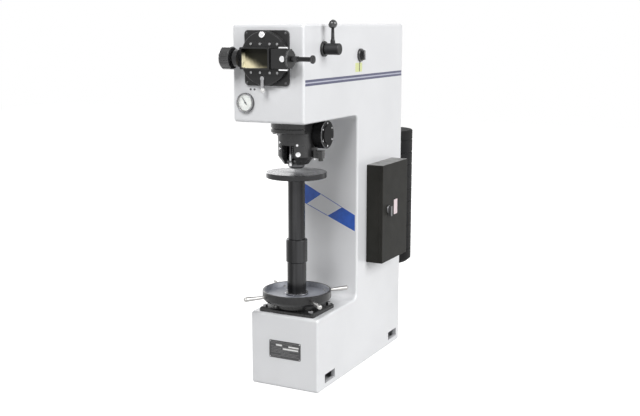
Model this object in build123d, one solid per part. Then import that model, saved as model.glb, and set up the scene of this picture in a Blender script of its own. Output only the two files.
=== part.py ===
"""Optical dead-weight Brinell hardness tester, built as an assembly of separate pieces.

Frame: millimetres, +Z up, +Y towards the weights at the back, +X to the crank side.
The origin is on the floor, straight below the test axis (spindle, indenter and plunger).
"""
import os
from math import cos, degrees, pi, radians, sin, tan

from build123d import *

os.makedirs("parts", exist_ok=True)

# ---------------------------------------------------------------- frame casting
WIDTH = 250.0            # across the casting
HEAD_UNDER = 888.0       # underside of the head over the throat; the head's heights follow it
HEAD_H = 302.0
FRAME_TOP = HEAD_UNDER + HEAD_H
FRAME_BACK = 585.0       # rear face of the column
HEAD_FRONT = -180.0      # front face of the head
COLUMN_FRONT = 205.0     # throat face of the column
BASE_FRONT = -90.0       # front face of the base
BASE_TOP = 250.0         # table of the base that carries the pedestal
WALL = 14.0              # casting wall
THROAT_R = 22.0          # inner corners of the throat
CORNER_R = 10.0          # outer corners of the C and of the base
EDGE_R = 7.0             # long edges of both sides
SLOT_SIZE = (75.0, 30.0)  # transport slots, along Y and Z
SLOT_Y = (-1.5, 520.5)   # their centres
SLOT_Z = 36.0

# ---------------------------------------------------------------- covers
COVER_T = 4.0
COVER_W = 214.0
COVER_INSET = 26.0       # cover edge from the head's front and rear faces
LEDGE = 9.0              # land that carries a cover, all round
REAR_W = 180.0
REAR_Z = (120.0, FRAME_TOP - 70.0)
TAIL_SLOT = (56.0, 100.0)  # hole of the rear cover for the beam's tail
SCREW_R = 4.0            # head of the cover screws
SCREW_H = 2.6

# ---------------------------------------------------------------- elevating spindle
FLANGE_X = 204.0
FLANGE_Y = 156.0
FLANGE_T = 14.0
FLANGE_BEVEL = 5.0
CONE_R = (90.0, 84.0)    # pedestal cone, bottom and top
CONE_H = 19.0
SPIGOT_R = 44.0
SPIGOT_H = 38.0
KEY_W = 8.0
KEY_H = 16.0
KEY_DEPTH = 4.0          # keyway depth in the screw
SCREW_RADIUS = 19.0      # lead screw over its thread
SCREW_LOW = 205.0        # lower end of the screw at rest
PITCH = 10.0             # lead of the screw per turn
NUT_R = 33.0
NUT_FLANGE_R = 58.0
NUT_FLANGE_T = 9.8
BALL_R = 3.5
BALL_COUNT = 18
RACE_R = (42.0, 60.0)
RACE_T = 3.0
WHEEL_R = 115.0
WHEEL_H = 34.0
WHEEL_WEB = 11.0
WHEEL_RIM = 8.0
ROD_COUNT = 4
ROD_START = 52.0         # angle of the first handle rod, degrees
ROD_R = (5.0, 8.0)       # root and tip
ROD_REACH = 190.0        # radius of the rods' tips
LOWER_TUBE_R = 31.75
LOWER_TUBE_H = 110.0
LOWER_RING_R = 37.5
LOWER_RING_H = 8.0
COLLAR_R = 35.5
COLLAR_H = 78.0
UPPER_TUBE_R = 28.0
TUBE_WALL = 3.0
TUBE_GRIP = 17.0         # upper tube held inside the collar at rest
TABLE_R = 100.0
TABLE_T = 18.0
TABLE_TOP = HEAD_UNDER - 173.0
TABLE_PIN_R = 12.5
TABLE_PIN_L = 36.0
RUN = 0.05               # radial clearance of a running fit
SEAT = 0.02              # radial clearance of a fixed fit
GAP = 0.3                # clearance between pieces that only stand near each other

# ---------------------------------------------------------------- test nose
NOSE_FLANGE_R = 82.0
NOSE_FLANGE_T = 43.0
NOSE_R = 60.0
NOSE_LOW_R = 41.0
NOSE_BOTTOM = HEAD_UNDER - 146.0
NOSE_BEVEL_Z = NOSE_BOTTOM + 26.0
CHAMBER_R = 35.0
CHAMBER_TOP = NOSE_BOTTOM + 58.0
LIP_T = 8.0
NOTCH_W = 44.0
NOTCH_TOP = NOSE_BOTTOM + 64.0
PLUNGER_R = 11.0
SLEEVE_R = 27.0
SLEEVE_BOTTOM = NOSE_BOTTOM - 15.0
SLEEVE_BORE = 13.0
SLEEVE_FLANGE_T = 6.0
SPRING_R = 24.0
SPRING_WIRE = 1.5
SPRING_TURNS = 6
BALL_INDENTER_R = 5.0
INDENTER_LOW = NOSE_BOTTOM - 11.0
HOLDER_TOP = NOSE_BOTTOM + 20.0  # top of the indenter's holder
GUIDE_PIN_R = 4.0
GUIDE_PIN_Y = -39.0
OBJECTIVE_X = 68.0       # rod that the objective arm swings on
OBJECTIVE_ROD_R = 5.0
OBJECTIVE_LOW = NOSE_BOTTOM + 15.0  # lower end of that rod
LAMP_Y = 36.0
LAMP_Z = HEAD_UNDER - 50.0
LAMP_R = 46.0
LAMP_X = (62.0, 92.0)
LAMP_COVER_T = 4.0

# ---------------------------------------------------------------- loading gear
FULCRUM_Y = -36.0        # the short arm of the lever, in front of the test axis
BEAM_Z = HEAD_UNDER + 72.0
BEAM_W = 36.0
BEAM_H = 60.0
BEAM_PIN_R = 8.0
STACK_Y = 712.0          # the weights hang here, behind the column
BEAM_TAIL = 28.0         # beam past the hanger pin
BEAM_TILT = 1.0          # degrees of lift for the crank's quarter turn
CRANK_Y = -50.0
CRANK_Z = HEAD_UNDER + 226.0
CRANK_TURN = 90.0
SHAFT_R = 10.0
ARM_L = 40.0             # throw of the crank arm and of the lifter arm
ARM_ANGLE = 20.5         # direction of both arms at rest, from +Y
LINK_PIN_R = 5.0
LINK_X = (50.0, 60.0)    # plane of the connecting rod
LIFTER_Y = 430.0
LIFTER_Z = BEAM_Z - 65.0
CAM_W = 24.0
DASHPOT_Y = 330.0
DASHPOT_R = 32.0
DASHPOT_DROP = 70.0      # its lid under the lever
DASHPOT_H = 160.0
DASHPOT_BORE = 28.0
DISC_R = 109.0
DISC_H = 47.3
DISC_COUNT = 9
TOP_DISC_H = 38.0
STACK_BOTTOM = 275.0
PLATE_H = 51.0
DISC_EDGE = 3.0
HANGER_R = 12.0
CLEVIS_T = 10.0

# ---------------------------------------------------------------- hand lever
LEVER_X = 157.0
LEVER_L = 76.0
LEVER_R = 5.5
KNOB_BALL_R = 14.0
CRANK_HUB_R = 18.0
CRANK_HUB_X = (134.0, 182.0)
BOSS_R = 24.0
BOSS_T = 8.0

# ---------------------------------------------------------------- measuring screen
SCREEN_Z = HEAD_UNDER + 200.0
PLATE_SIZE = (154.0, 168.0)
PLATE_T = 10.0
PLATE_R = 13.0
RING_R = 82.0
RING_T = 16.0
RING_SPIGOT_R = 60.0
HOOD_X = (-68.0, 36.0)
HOOD_H = 66.0
HOOD_DEPTH = 28.0
WINDOW_X = (-62.0, 30.0)
WINDOW_H = 58.0
FLANGE_PLATE = (-66.0, 80.0)
FLANGE_PLATE_H = 100.0
FLANGE_PLATE_T = 5.0
GEARBOX_X = 100.0
GEARBOX_H = 58.0
GEARBOX_DEPTH = 24.0
SPINDLE_Y = -229.0       # common axis of focus knob and micrometer
KNOB_R = 35.0
KNOB_X = (-126.0, -92.0)
NECK_R = 12.0
BARREL_R = 26.0
BARREL_X = (100.0, 110.0)
THIMBLE_R = 7.0
THIMBLE_X = 185.6
RATCHET_R = 12.0
RAIL_X = (64.0, 93.0)    # bright rails over and under the box
RAIL_R = 3.5
RING_KNOB_AT = (-2.0, 70.0)  # across and up from the ring's centre
RING_KNOB_R = 10.0
CROSS_KNOB_X = 81.0
CROSS_KNOB_R = 9.0
GLASS_T = 3.0
TUBE_R = 46.0
TUBE_L = 86.0
MIRROR_T = 5.0

# ---------------------------------------------------------------- gauge, switch, type plate
GAUGE_X = -78.5
GAUGE_Z = HEAD_UNDER + 62.0
GAUGE_R = 30.0
GAUGE_T = 11.0
SWITCH_Y = 218.0
SWITCH_Z = HEAD_UNDER + 200.0
SWITCH_R = 22.0
TYPE_PLATE = (117.0, 59.5)
TYPE_PLATE_AT = (3.5, 132.0)
TYPE_PLATE_T = 1.6

# ---------------------------------------------------------------- electrical cabinet
CAB_Y = (280.0, 500.0)
CAB_Z = (365.0, 711.0)
CAB_DEPTH = 61.0
CAB_WALL = 2.5
DOOR_T = 14.0
HINGE_R = 4.0
HINGE_OUT = 4.4           # hinge axis behind the cabinet
HINGE_PIN_R = 2.0
LATCH_Y = 329.0
LATCH_Z = 552.0
TONGUE_L = 42.0
STRIKE = (9.5, 60.0)     # depth and height of the strike plate
CABLE_UP = 60.0          # cable hole over the cabinet's floor
TRANSFORMER_AT = (100.0, 150.0)  # from the cabinet's front and floor
TERMINALS_AT = (55.0, 90.0)  # from the cabinet's back and roof

HALF = WIDTH / 2
THREAD_TOP = TABLE_TOP - TABLE_T
CONE_TOP = BASE_TOP + FLANGE_T + CONE_H
RACE_LOW = CONE_TOP - 11.0
NUT_SEAT = RACE_LOW + RACE_T + 2 * BALL_R + 0.2
WEB_LOW = NUT_SEAT + NUT_FLANGE_T
WEB_TOP = WEB_LOW + WHEEL_WEB
WHEEL_LOW = CONE_TOP + 2.0
LOWER_TUBE_TOP = WEB_TOP + LOWER_TUBE_H
COLLAR_TOP = LOWER_TUBE_TOP + COLLAR_H
BEAM_LOW = BEAM_Z - BEAM_H / 2
DASHPOT_Z = (BEAM_LOW - DASHPOT_DROP - DASHPOT_H, BEAM_LOW - DASHPOT_DROP)
PLATE_FRONT = HEAD_FRONT - PLATE_T
RING_FRONT = PLATE_FRONT - RING_T
NOSE_TOP = HEAD_UNDER - NOSE_FLANGE_T
CAB_X = HALF + CAB_DEPTH
DOOR_X = CAB_X - DOOR_T


# ---------------------------------------------------------------- helpers
def block(x, y, z):
    """Box between two coordinates on each axis."""
    size = (x[1] - x[0], y[1] - y[0], z[1] - z[0])
    centre = ((x[0] + x[1]) / 2, (y[0] + y[1]) / 2, (z[0] + z[1]) / 2)
    return Pos(*centre) * Box(*size)


def rod_x(r, x, y, z):
    """Cylinder along X between x[0] and x[1]."""
    return Pos((x[0] + x[1]) / 2, y, z) * Rot(0, 90, 0) * Cylinder(r, x[1] - x[0])


def rod_y(r, x, y, z):
    """Cylinder along Y between y[0] and y[1]."""
    return Pos(x, (y[0] + y[1]) / 2, z) * Rot(90, 0, 0) * Cylinder(r, y[1] - y[0])


def rod_z(r, x, y, z):
    """Cylinder along Z between z[0] and z[1]."""
    return Pos(x, y, (z[0] + z[1]) / 2) * Cylinder(r, z[1] - z[0])


def turned(*points):
    """Solid of revolution about Z from (radius, height) points."""
    return revolve(Plane.XZ * make_face(Polyline(*points, close=True)), Axis.Z)


def side_profile(points, radii, half_width):
    """Closed outline in the YZ plane with one radius per corner, extruded both ways along X."""
    outline = make_face(FilletPolyline(*points, radius=radii, close=True))
    return extrude(Plane.YZ * outline, amount=half_width, both=True)


def rounded_plate(width, height, radius, thickness):
    """Plate in the XZ plane, its back on Y=0 and its face towards -Y."""
    return extrude(Plane.XZ * RectangleRounded(width, height, radius), amount=thickness)


def hex_head(across, height):
    """Hexagonal head standing on Z=0."""
    return extrude(RegularPolygon(across / 2, 6, major_radius=False), amount=height)


def save(name, *solids):
    """Write one node; several solids make a group."""
    shape = solids[0] if len(solids) == 1 else Compound(list(solids))
    export_step(shape, f"parts/{name}.step")


# ---------------------------------------------------------------- frame
def frame_casting():
    """Hollow C-shaped casting with access holes, spigot holes and transport slots."""
    outer = [
        (BASE_FRONT, 0), (FRAME_BACK, 0), (FRAME_BACK, FRAME_TOP), (HEAD_FRONT, FRAME_TOP),
        (HEAD_FRONT, HEAD_UNDER), (COLUMN_FRONT, HEAD_UNDER), (COLUMN_FRONT, BASE_TOP),
        (BASE_FRONT, BASE_TOP),
    ]
    radii = [CORNER_R] * 5 + [THROAT_R, THROAT_R, CORNER_R]
    body = side_profile(outer, radii, HALF)
    sides = body.faces().sort_by(Axis.X)
    body = fillet(sides[0].edges() + sides[-1].edges(), EDGE_R)
    w = WALL
    inner = [
        (BASE_FRONT + w, w), (FRAME_BACK - w, w), (FRAME_BACK - w, FRAME_TOP - w),
        (HEAD_FRONT + w, FRAME_TOP - w), (HEAD_FRONT + w, HEAD_UNDER + w),
        (COLUMN_FRONT + w, HEAD_UNDER + w), (COLUMN_FRONT + w, BASE_TOP - w),
        (BASE_FRONT + w, BASE_TOP - w),
    ]
    body -= side_profile(inner, [CORNER_R] * 8, HALF - w)
    # top opening with a ledge that carries the cover
    cover_y = (HEAD_FRONT + COVER_INSET, FRAME_BACK - COVER_INSET)
    body -= block((-COVER_W / 2, COVER_W / 2), cover_y, (FRAME_TOP - COVER_T, FRAME_TOP + 1))
    land = (cover_y[0] + LEDGE, cover_y[1] - LEDGE)
    body -= block((-COVER_W / 2 + LEDGE, COVER_W / 2 - LEDGE), land, (FRAME_TOP - w - 1, FRAME_TOP))
    # rear opening, closed by the rear cover
    rear_x = REAR_W / 2 - LEDGE
    rear_z = (REAR_Z[0] + LEDGE, REAR_Z[1] - LEDGE)
    body -= block((-rear_x, rear_x), (FRAME_BACK - w - 1, FRAME_BACK + 1), rear_z)
    # bores for spindle, plunger, screen, gauge, crank, switch and cable
    body -= rod_z(SPIGOT_R + SEAT, 0, 0, (BASE_TOP - w - 1, BASE_TOP + 1))
    body -= rod_z(PLUNGER_R + 5, 0, 0, (HEAD_UNDER - 1, HEAD_UNDER + w + 1))
    body -= rod_y(TUBE_R + SEAT, 0, (HEAD_FRONT - 1, HEAD_FRONT + w + 1), SCREEN_Z)
    body -= rod_y(8 + SEAT, GAUGE_X, (HEAD_FRONT - 1, HEAD_FRONT + w + 1), GAUGE_Z)
    wall_x = (HALF - w - 1, HALF + 1)
    body -= rod_x(SHAFT_R + 6 + SEAT, wall_x, CRANK_Y, CRANK_Z)
    body -= rod_x(6 + RUN, wall_x, SWITCH_Y, SWITCH_Z)
    body -= rod_x(12, wall_x, sum(CAB_Y) / 2, CAB_Z[0] + CABLE_UP)
    # transport slots through both sides
    length, height = SLOT_SIZE
    for y in SLOT_Y:
        body -= block((-HALF - 1, HALF + 1), (y - length / 2, y + length / 2),
                      (SLOT_Z - height / 2, SLOT_Z + height / 2))
    return body


def head_cover():
    """Sheet cover let into the top of the head, sunk for its screws."""
    y = (HEAD_FRONT + COVER_INSET + GAP, FRAME_BACK - COVER_INSET - GAP)
    x = COVER_W / 2 - GAP
    cover = block((-x, x), y, (FRAME_TOP - COVER_T, FRAME_TOP))
    for side, along in top_screws():
        cover -= rod_z(SCREW_R + SEAT, side, along, (FRAME_TOP - SCREW_H, FRAME_TOP + 1))
    return cover


def top_screws():
    """Places of the top cover's screws."""
    x = COVER_W / 2 - GAP - 6
    first, last = HEAD_FRONT + COVER_INSET + 8, FRAME_BACK - COVER_INSET - 8
    return [(side, first + (last - first) * i / 3) for i in range(4) for side in (-x, x)]


def rear_cover():
    """Sheet on the column's back with the hole that the beam's tail comes out of."""
    half = REAR_W / 2
    y = (FRAME_BACK, FRAME_BACK + COVER_T)
    cover = block((-half, half), y, REAR_Z)
    slot_x, slot_z = TAIL_SLOT[0] / 2, TAIL_SLOT[1] / 2
    middle = BEAM_Z + 6
    return cover - block((-slot_x, slot_x), (y[0] - 1, y[1] + 1), (middle - slot_z, middle + slot_z))


def cover_screws():
    """Flush screws of the top cover, pan-head screws of the rear cover and the screen plate."""
    screws = [rod_z(SCREW_R, x, y, (FRAME_TOP - SCREW_H, FRAME_TOP)) for x, y in top_screws()]
    for i in range(5):
        z = REAR_Z[0] + 8 + (REAR_Z[1] - REAR_Z[0] - 16) * i / 4
        for side in (-REAR_W / 2 + 7, REAR_W / 2 - 7):
            back = FRAME_BACK + COVER_T
            screws.append(rod_y(SCREW_R, side, (back, back + SCREW_H), z))
    dx, dz = PLATE_SIZE[0] / 2 - 9, PLATE_SIZE[1] / 2 - 9
    front = (PLATE_FRONT - SCREW_H, PLATE_FRONT)
    for sx in (-1, 1):
        for sz in (-1, 1):
            screws.append(rod_y(SCREW_R, sx * dx, front, SCREEN_Z + sz * dz))
    return screws


# ---------------------------------------------------------------- elevating spindle
def pedestal():
    """Square flange with a cone, a spigot in the base, the seats of nut and race, and the key."""
    plate = Pos(0, 0, BASE_TOP + FLANGE_T / 2) * Box(FLANGE_X, FLANGE_Y, FLANGE_T)
    plate = fillet(plate.edges().filter_by(Axis.Z), 8)
    plate = chamfer(plate.faces().sort_by(Axis.Z)[-1].edges(), FLANGE_BEVEL)
    low = BASE_TOP + FLANGE_T
    top_flange = min(CONE_R[0], FLANGE_Y / 2 - FLANGE_BEVEL)
    cone = turned((0, low), (top_flange, low), (CONE_R[1] - 12, CONE_TOP), (0, CONE_TOP))
    body = plate + cone + rod_z(SPIGOT_R, 0, 0, (BASE_TOP - SPIGOT_H, BASE_TOP))
    body -= rod_z(RACE_R[1] + GAP, 0, 0, (RACE_LOW, CONE_TOP + 1))
    body -= rod_z(NUT_R + RUN, 0, 0, (BASE_TOP - SPIGOT_H + KEY_H + 4, CONE_TOP))
    body -= rod_z(SCREW_RADIUS + RUN, 0, 0, (BASE_TOP - SPIGOT_H - 1, CONE_TOP))
    low = BASE_TOP - SPIGOT_H
    key_x = (SCREW_RADIUS - KEY_DEPTH + GAP, SCREW_RADIUS + 6)
    return body + block(key_x, (-KEY_W / 2, KEY_W / 2), (low + 2, low + 2 + KEY_H))


def pedestal_bolts():
    """Four bolts at the flange corners."""
    dx, dy = FLANGE_X / 2 - 17, FLANGE_Y / 2 - 15
    top = BASE_TOP + FLANGE_T
    return [Pos(sx * dx, sy * dy, top) * hex_head(15, 7) for sx in (-1, 1) for sy in (-1, 1)]


def thrust_bearing():
    """Lower race and its balls; the nut's flange runs on them."""
    race = rod_z(RACE_R[1], 0, 0, (RACE_LOW, RACE_LOW + RACE_T))
    race -= rod_z(RACE_R[0], 0, 0, (RACE_LOW - 1, RACE_LOW + RACE_T + 1))
    middle = (RACE_R[0] + RACE_R[1]) / 2
    z = RACE_LOW + RACE_T + BALL_R + 0.05
    balls = []
    for i in range(BALL_COUNT):
        a = 2 * pi * i / BALL_COUNT
        balls.append(Pos(middle * cos(a), middle * sin(a), z) * Sphere(BALL_R))
    return [race] + balls


def elevating_nut():
    """Nut with the flange that runs on the balls and carries the wheel."""
    low = BASE_TOP - SPIGOT_H + KEY_H + 4 + GAP
    nut = rod_z(NUT_R, 0, 0, (low, WEB_TOP))
    nut += rod_z(NUT_FLANGE_R, 0, 0, (NUT_SEAT, WEB_LOW))
    return nut - rod_z(SCREW_RADIUS + RUN, 0, 0, (low - 1, WEB_TOP + 1))


def handwheel():
    """Dished wheel: web, deep rim and a skirt that runs down to the pedestal."""
    top = WHEEL_LOW + WHEEL_H
    wheel = turned(
        (NUT_R + SEAT, WEB_LOW), (WHEEL_R - 22, WEB_LOW), (WHEEL_R - 18, WHEEL_LOW),
        (WHEEL_R - 7, WHEEL_LOW), (WHEEL_R, WHEEL_LOW + 9), (WHEEL_R, top - 2),
        (WHEEL_R - 2, top), (WHEEL_R - WHEEL_RIM + 1.5, top), (WHEEL_R - WHEEL_RIM, top - 1.5),
        (WHEEL_R - WHEEL_RIM - 5, WEB_TOP), (NUT_R + SEAT, WEB_TOP),
    )
    for i in range(ROD_COUNT):
        socket = rod_x(ROD_R[0] + SEAT, (WHEEL_R - 16, WHEEL_R + 5), 0, WHEEL_LOW + 18)
        wheel -= Rot(0, 0, ROD_START + i * 360 / ROD_COUNT) * socket
    return wheel


def wheel_rods():
    """Four handle rods that thicken towards their rounded tips."""
    root = WHEEL_R - 16
    tip = ROD_REACH - ROD_R[1]
    profile = turned((0, root), (ROD_R[0], root), (ROD_R[0], WHEEL_R + 4), (ROD_R[1], tip), (0, tip))
    rod = profile + Pos(0, 0, tip) * Sphere(ROD_R[1])
    rod = Pos(0, 0, WHEEL_LOW + 18) * Rot(0, 90, 0) * rod
    return [Rot(0, 0, ROD_START + i * 360 / ROD_COUNT) * rod for i in range(ROD_COUNT)]


def lower_tube():
    """Cover tube that stands on the nut and hides the screw."""
    tube = rod_z(LOWER_TUBE_R, 0, 0, (WEB_TOP, LOWER_TUBE_TOP))
    ring = rod_z(LOWER_RING_R, 0, 0, (WEB_TOP, WEB_TOP + LOWER_RING_H))
    ring = chamfer(ring.faces().sort_by(Axis.Z)[-1].edges(), 1.5)
    bore = rod_z(UPPER_TUBE_R + 0.75, 0, 0, (WEB_TOP - 1, LOWER_TUBE_TOP + 1))
    return tube + ring - bore


def tube_collar():
    """Guide collar on the lower tube; the upper tube slides in it."""
    collar = rod_z(COLLAR_R, 0, 0, (LOWER_TUBE_TOP, COLLAR_TOP))
    collar = chamfer(collar.edges().filter_by(GeomType.CIRCLE), 2.5)
    return collar - rod_z(UPPER_TUBE_R + RUN, 0, 0, (LOWER_TUBE_TOP - 1, COLLAR_TOP + 1))


def upper_tube():
    """Cover tube that hangs under the table and telescopes into the collar."""
    z = (COLLAR_TOP - TUBE_GRIP, THREAD_TOP)
    tube = rod_z(UPPER_TUBE_R, 0, 0, z)
    return tube - rod_z(UPPER_TUBE_R - TUBE_WALL, 0, 0, (z[0] - 1, z[1] + 1))


def lead_screw():
    """Screw with its keyway, the head that holds the upper tube and the table's socket."""
    head = rod_z(UPPER_TUBE_R - TUBE_WALL - SEAT, 0, 0, (THREAD_TOP - 24, THREAD_TOP))
    body = rod_z(SCREW_RADIUS, 0, 0, (SCREW_LOW, THREAD_TOP)) + head
    depth = SCREW_RADIUS - KEY_DEPTH
    groove = block((depth, SCREW_RADIUS + 1), (-KEY_W / 2 - RUN, KEY_W / 2 + RUN),
                   (SCREW_LOW - 1, THREAD_TOP - 40))
    socket = rod_z(TABLE_PIN_R + SEAT, 0, 0, (THREAD_TOP - TABLE_PIN_L - 1, THREAD_TOP + 1))
    return body - groove - socket


def table():
    """Round anvil table with its locating pin."""
    disc = rod_z(TABLE_R, 0, 0, (THREAD_TOP, TABLE_TOP))
    disc = chamfer(disc.edges().filter_by(GeomType.CIRCLE), 1.5)
    return disc + rod_z(TABLE_PIN_R, 0, 0, (THREAD_TOP - TABLE_PIN_L, THREAD_TOP))


# ---------------------------------------------------------------- test nose
def nose_flange():
    """Two-step flange under the head, flat on the lamp's side."""
    flange = turned(
        (PLUNGER_R + RUN, NOSE_TOP), (NOSE_FLANGE_R - 2, NOSE_TOP), (NOSE_FLANGE_R, NOSE_TOP + 2),
        (NOSE_FLANGE_R, NOSE_TOP + 13), (NOSE_FLANGE_R - 2, NOSE_TOP + 14),
        (NOSE_FLANGE_R - 2, NOSE_TOP + 16), (NOSE_FLANGE_R, NOSE_TOP + 17),
        (NOSE_FLANGE_R, HEAD_UNDER), (PLUNGER_R + RUN, HEAD_UNDER),
    )
    side = (LAMP_X[0] - 2, NOSE_FLANGE_R + 1)
    return flange - block(side, (-NOSE_FLANGE_R, NOSE_FLANGE_R), (NOSE_TOP - 1, HEAD_UNDER + 1))


def nose_bolts():
    """Bolts that hold nose and flange to the head."""
    bolts = []
    for angle in (105, 140, 175, 210, 245):
        x, y = 71 * cos(radians(angle)), 71 * sin(radians(angle))
        bolts.append(Pos(x, y, NOSE_TOP - 6) * hex_head(11, 6))
    return bolts


def nose_body():
    """Drum with a spring chamber, a lip for the clamp sleeve, a front notch and the rod's lug."""
    body = turned(
        (SLEEVE_R + RUN, NOSE_BOTTOM), (NOSE_LOW_R, NOSE_BOTTOM), (NOSE_R, NOSE_BEVEL_Z),
        (NOSE_R, NOSE_TOP), (PLUNGER_R + RUN, NOSE_TOP), (PLUNGER_R + RUN, CHAMBER_TOP),
        (CHAMBER_R, CHAMBER_TOP), (CHAMBER_R, NOSE_BOTTOM + LIP_T),
        (SLEEVE_R + RUN, NOSE_BOTTOM + LIP_T),
    )
    lug_z = (LAMP_Z - LAMP_R - 3, LAMP_Z - LAMP_R + 7)
    lug = block((NOSE_R - 10, OBJECTIVE_X), (-9, 9), lug_z)
    lug += rod_z(9, OBJECTIVE_X, 0, lug_z)
    body += lug - rod_z(CHAMBER_R + 1, 0, 0, (lug_z[0] - 1, lug_z[1] + 1))
    body -= block((-NOTCH_W / 2, NOTCH_W / 2), (-NOSE_R - 5, -SLEEVE_R - 1),
                  (NOSE_BOTTOM - 1, NOTCH_TOP))
    body -= rod_z(GUIDE_PIN_R + SEAT, 0, GUIDE_PIN_Y, (NOTCH_TOP - 1, NOTCH_TOP + 14))
    return body - rod_z(OBJECTIVE_ROD_R + SEAT, OBJECTIVE_X, 0, (lug_z[0] - 1, lug_z[1] + 1))


def nose_rods():
    """Bright pin in the notch that guides the clamp sleeve, and the objective arm's rod."""
    pin = rod_z(GUIDE_PIN_R, 0, GUIDE_PIN_Y, (NOSE_BOTTOM - 4, NOTCH_TOP + 13))
    rod = rod_z(OBJECTIVE_ROD_R, OBJECTIVE_X, 0, (OBJECTIVE_LOW, LAMP_Z - LAMP_R + 6))
    return [pin, rod]


def indenter_plunger():
    """Plunger under the beam, its ball holder and the ball."""
    holder_low = INDENTER_LOW + BALL_INDENTER_R
    body = turned(
        (0, holder_low), (6, holder_low), (9, holder_low + 6), (9, HOLDER_TOP),
        (PLUNGER_R, HOLDER_TOP + 2),
        (PLUNGER_R, BEAM_LOW - 4), (4, BEAM_LOW - GAP), (0, BEAM_LOW - GAP),
    )
    ball = Pos(0, 0, holder_low) * Sphere(BALL_INDENTER_R)
    return [body - ball, ball]


def clamp_sleeve():
    """Sprung sleeve that grips the specimen round the ball, with its guided ear."""
    low, lip = SLEEVE_BOTTOM, NOSE_BOTTOM + LIP_T
    top = lip + SLEEVE_FLANGE_T
    flange_r = CHAMBER_R - 1.5
    sleeve = turned(
        (SLEEVE_BORE, low), (SLEEVE_R - 6, low), (SLEEVE_R, low + 6), (SLEEVE_R, lip),
        (flange_r, lip), (flange_r, top), (SLEEVE_BORE, top),
    )
    ear = block((-8, 8), (GUIDE_PIN_Y - 8, -SLEEVE_R), (lip, top))
    ear -= rod_z(SLEEVE_BORE + 2, 0, 0, (lip - 1, top + 1))
    return sleeve + ear - rod_z(GUIDE_PIN_R + RUN, 0, GUIDE_PIN_Y, (lip - 1, top + 1))


def sleeve_spring():
    """Compression spring between the sleeve's flange and the chamber's roof."""
    low = NOSE_BOTTOM + LIP_T + SLEEVE_FLANGE_T + SPRING_WIRE
    high = CHAMBER_TOP - SPRING_WIRE
    path = Pos(0, 0, low) * Helix((high - low) / SPRING_TURNS, high - low, SPRING_R)
    section = Plane(origin=path @ 0, z_dir=path % 0) * Circle(SPRING_WIRE)
    return sweep(section, path=path, is_frenet=True)


def objective_arm():
    """Arm on the rod with the objective's housing and its lens barrel."""
    lug_low = LAMP_Z - LAMP_R - 3
    hub_z = (OBJECTIVE_LOW + 7, lug_low - GAP)
    arm = rod_z(OBJECTIVE_X - NOSE_R - 0.5, OBJECTIVE_X, 0, hub_z)
    arm += block((OBJECTIVE_X, 90), (-6, 6), hub_z)
    housing = Pos(90, 0, (hub_z[0] + hub_z[1]) / 2) * Box(20, 24, hub_z[1] - hub_z[0])
    housing = fillet(housing.edges().filter_by(Axis.Z), 4)
    arm += housing + rod_z(8, 90, 0, (hub_z[0] - 9, hub_z[0]))
    return arm - rod_z(OBJECTIVE_ROD_R + RUN, OBJECTIVE_X, 0, (hub_z[0] - 1, hub_z[1] + 1))


def lamp_drum():
    """Lamp housing beside the nose, open inside, with its neck on the nose."""
    drum = rod_x(LAMP_R, LAMP_X, LAMP_Y, LAMP_Z)
    drum += rod_x(20, (30, LAMP_X[0]), LAMP_Y, LAMP_Z - 20)
    drum -= rod_z(NOSE_R, 0, 0, (NOSE_BOTTOM, NOSE_TOP))
    drum -= rod_x(LAMP_R - 4, (LAMP_X[0] + 4, LAMP_X[1] + 1), LAMP_Y, LAMP_Z)
    return drum


def lamp_cover():
    """Screwed face of the lamp housing with its raised centre."""
    x0 = LAMP_X[1]
    cover = rod_x(LAMP_R, (x0, x0 + LAMP_COVER_T), LAMP_Y, LAMP_Z)
    cover = chamfer(cover.faces().sort_by(Axis.X)[-1].edges(), 1.2)
    return cover + rod_x(LAMP_R - 16, (x0 + LAMP_COVER_T, x0 + LAMP_COVER_T + 3), LAMP_Y, LAMP_Z)


# ---------------------------------------------------------------- loading gear
def fulcrum_block():
    """U-shaped block on the head's floor; its ears hold the beam's pivot pin."""
    low = HEAD_UNDER + WALL
    inner, outer = BEAM_W / 2 + 2, BEAM_W / 2 + 20
    block_y = (FULCRUM_Y - 40, FULCRUM_Y + 24)
    body = block((-outer, outer), block_y, (low, BEAM_Z + 28))
    body -= block((-inner, inner), (FULCRUM_Y - 27, FULCRUM_Y + 25), (low - 1, BEAM_Z + 29))
    return body - rod_x(BEAM_PIN_R + RUN, (-outer - 1, outer + 1), FULCRUM_Y, BEAM_Z)


def load_beam():
    """Lever of the loading gear, from the fulcrum to the weight hanger, lightened in between."""
    beam = block((-BEAM_W / 2, BEAM_W / 2), (FULCRUM_Y - 24, STACK_Y + BEAM_TAIL),
                 (BEAM_LOW, BEAM_LOW + BEAM_H))
    beam = fillet(beam.edges().filter_by(Axis.X), 6)
    for side in (-1, 1):
        face = side * BEAM_W / 2
        pocket_x = sorted((face - side * 11, face + side * 1))
        pocket = block(pocket_x, (90, FRAME_BACK + 40), (BEAM_LOW + 12, BEAM_LOW + BEAM_H - 12))
        beam -= fillet(pocket.edges().filter_by(Axis.X), 8)
    for y in (FULCRUM_Y, STACK_Y):
        beam -= rod_x(BEAM_PIN_R + SEAT, (-BEAM_W, BEAM_W), y, BEAM_Z)
    return beam


def beam_pins():
    """Fulcrum pin and hanger pin, fixed in the beam."""
    fulcrum = rod_x(BEAM_PIN_R, (-BEAM_W / 2 - 20, BEAM_W / 2 + 20), FULCRUM_Y, BEAM_Z)
    hanger_half = BEAM_W / 2 + 2 + CLEVIS_T + 3
    return [fulcrum, rod_x(BEAM_PIN_R, (-hanger_half, hanger_half), STACK_Y, BEAM_Z)]


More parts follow.
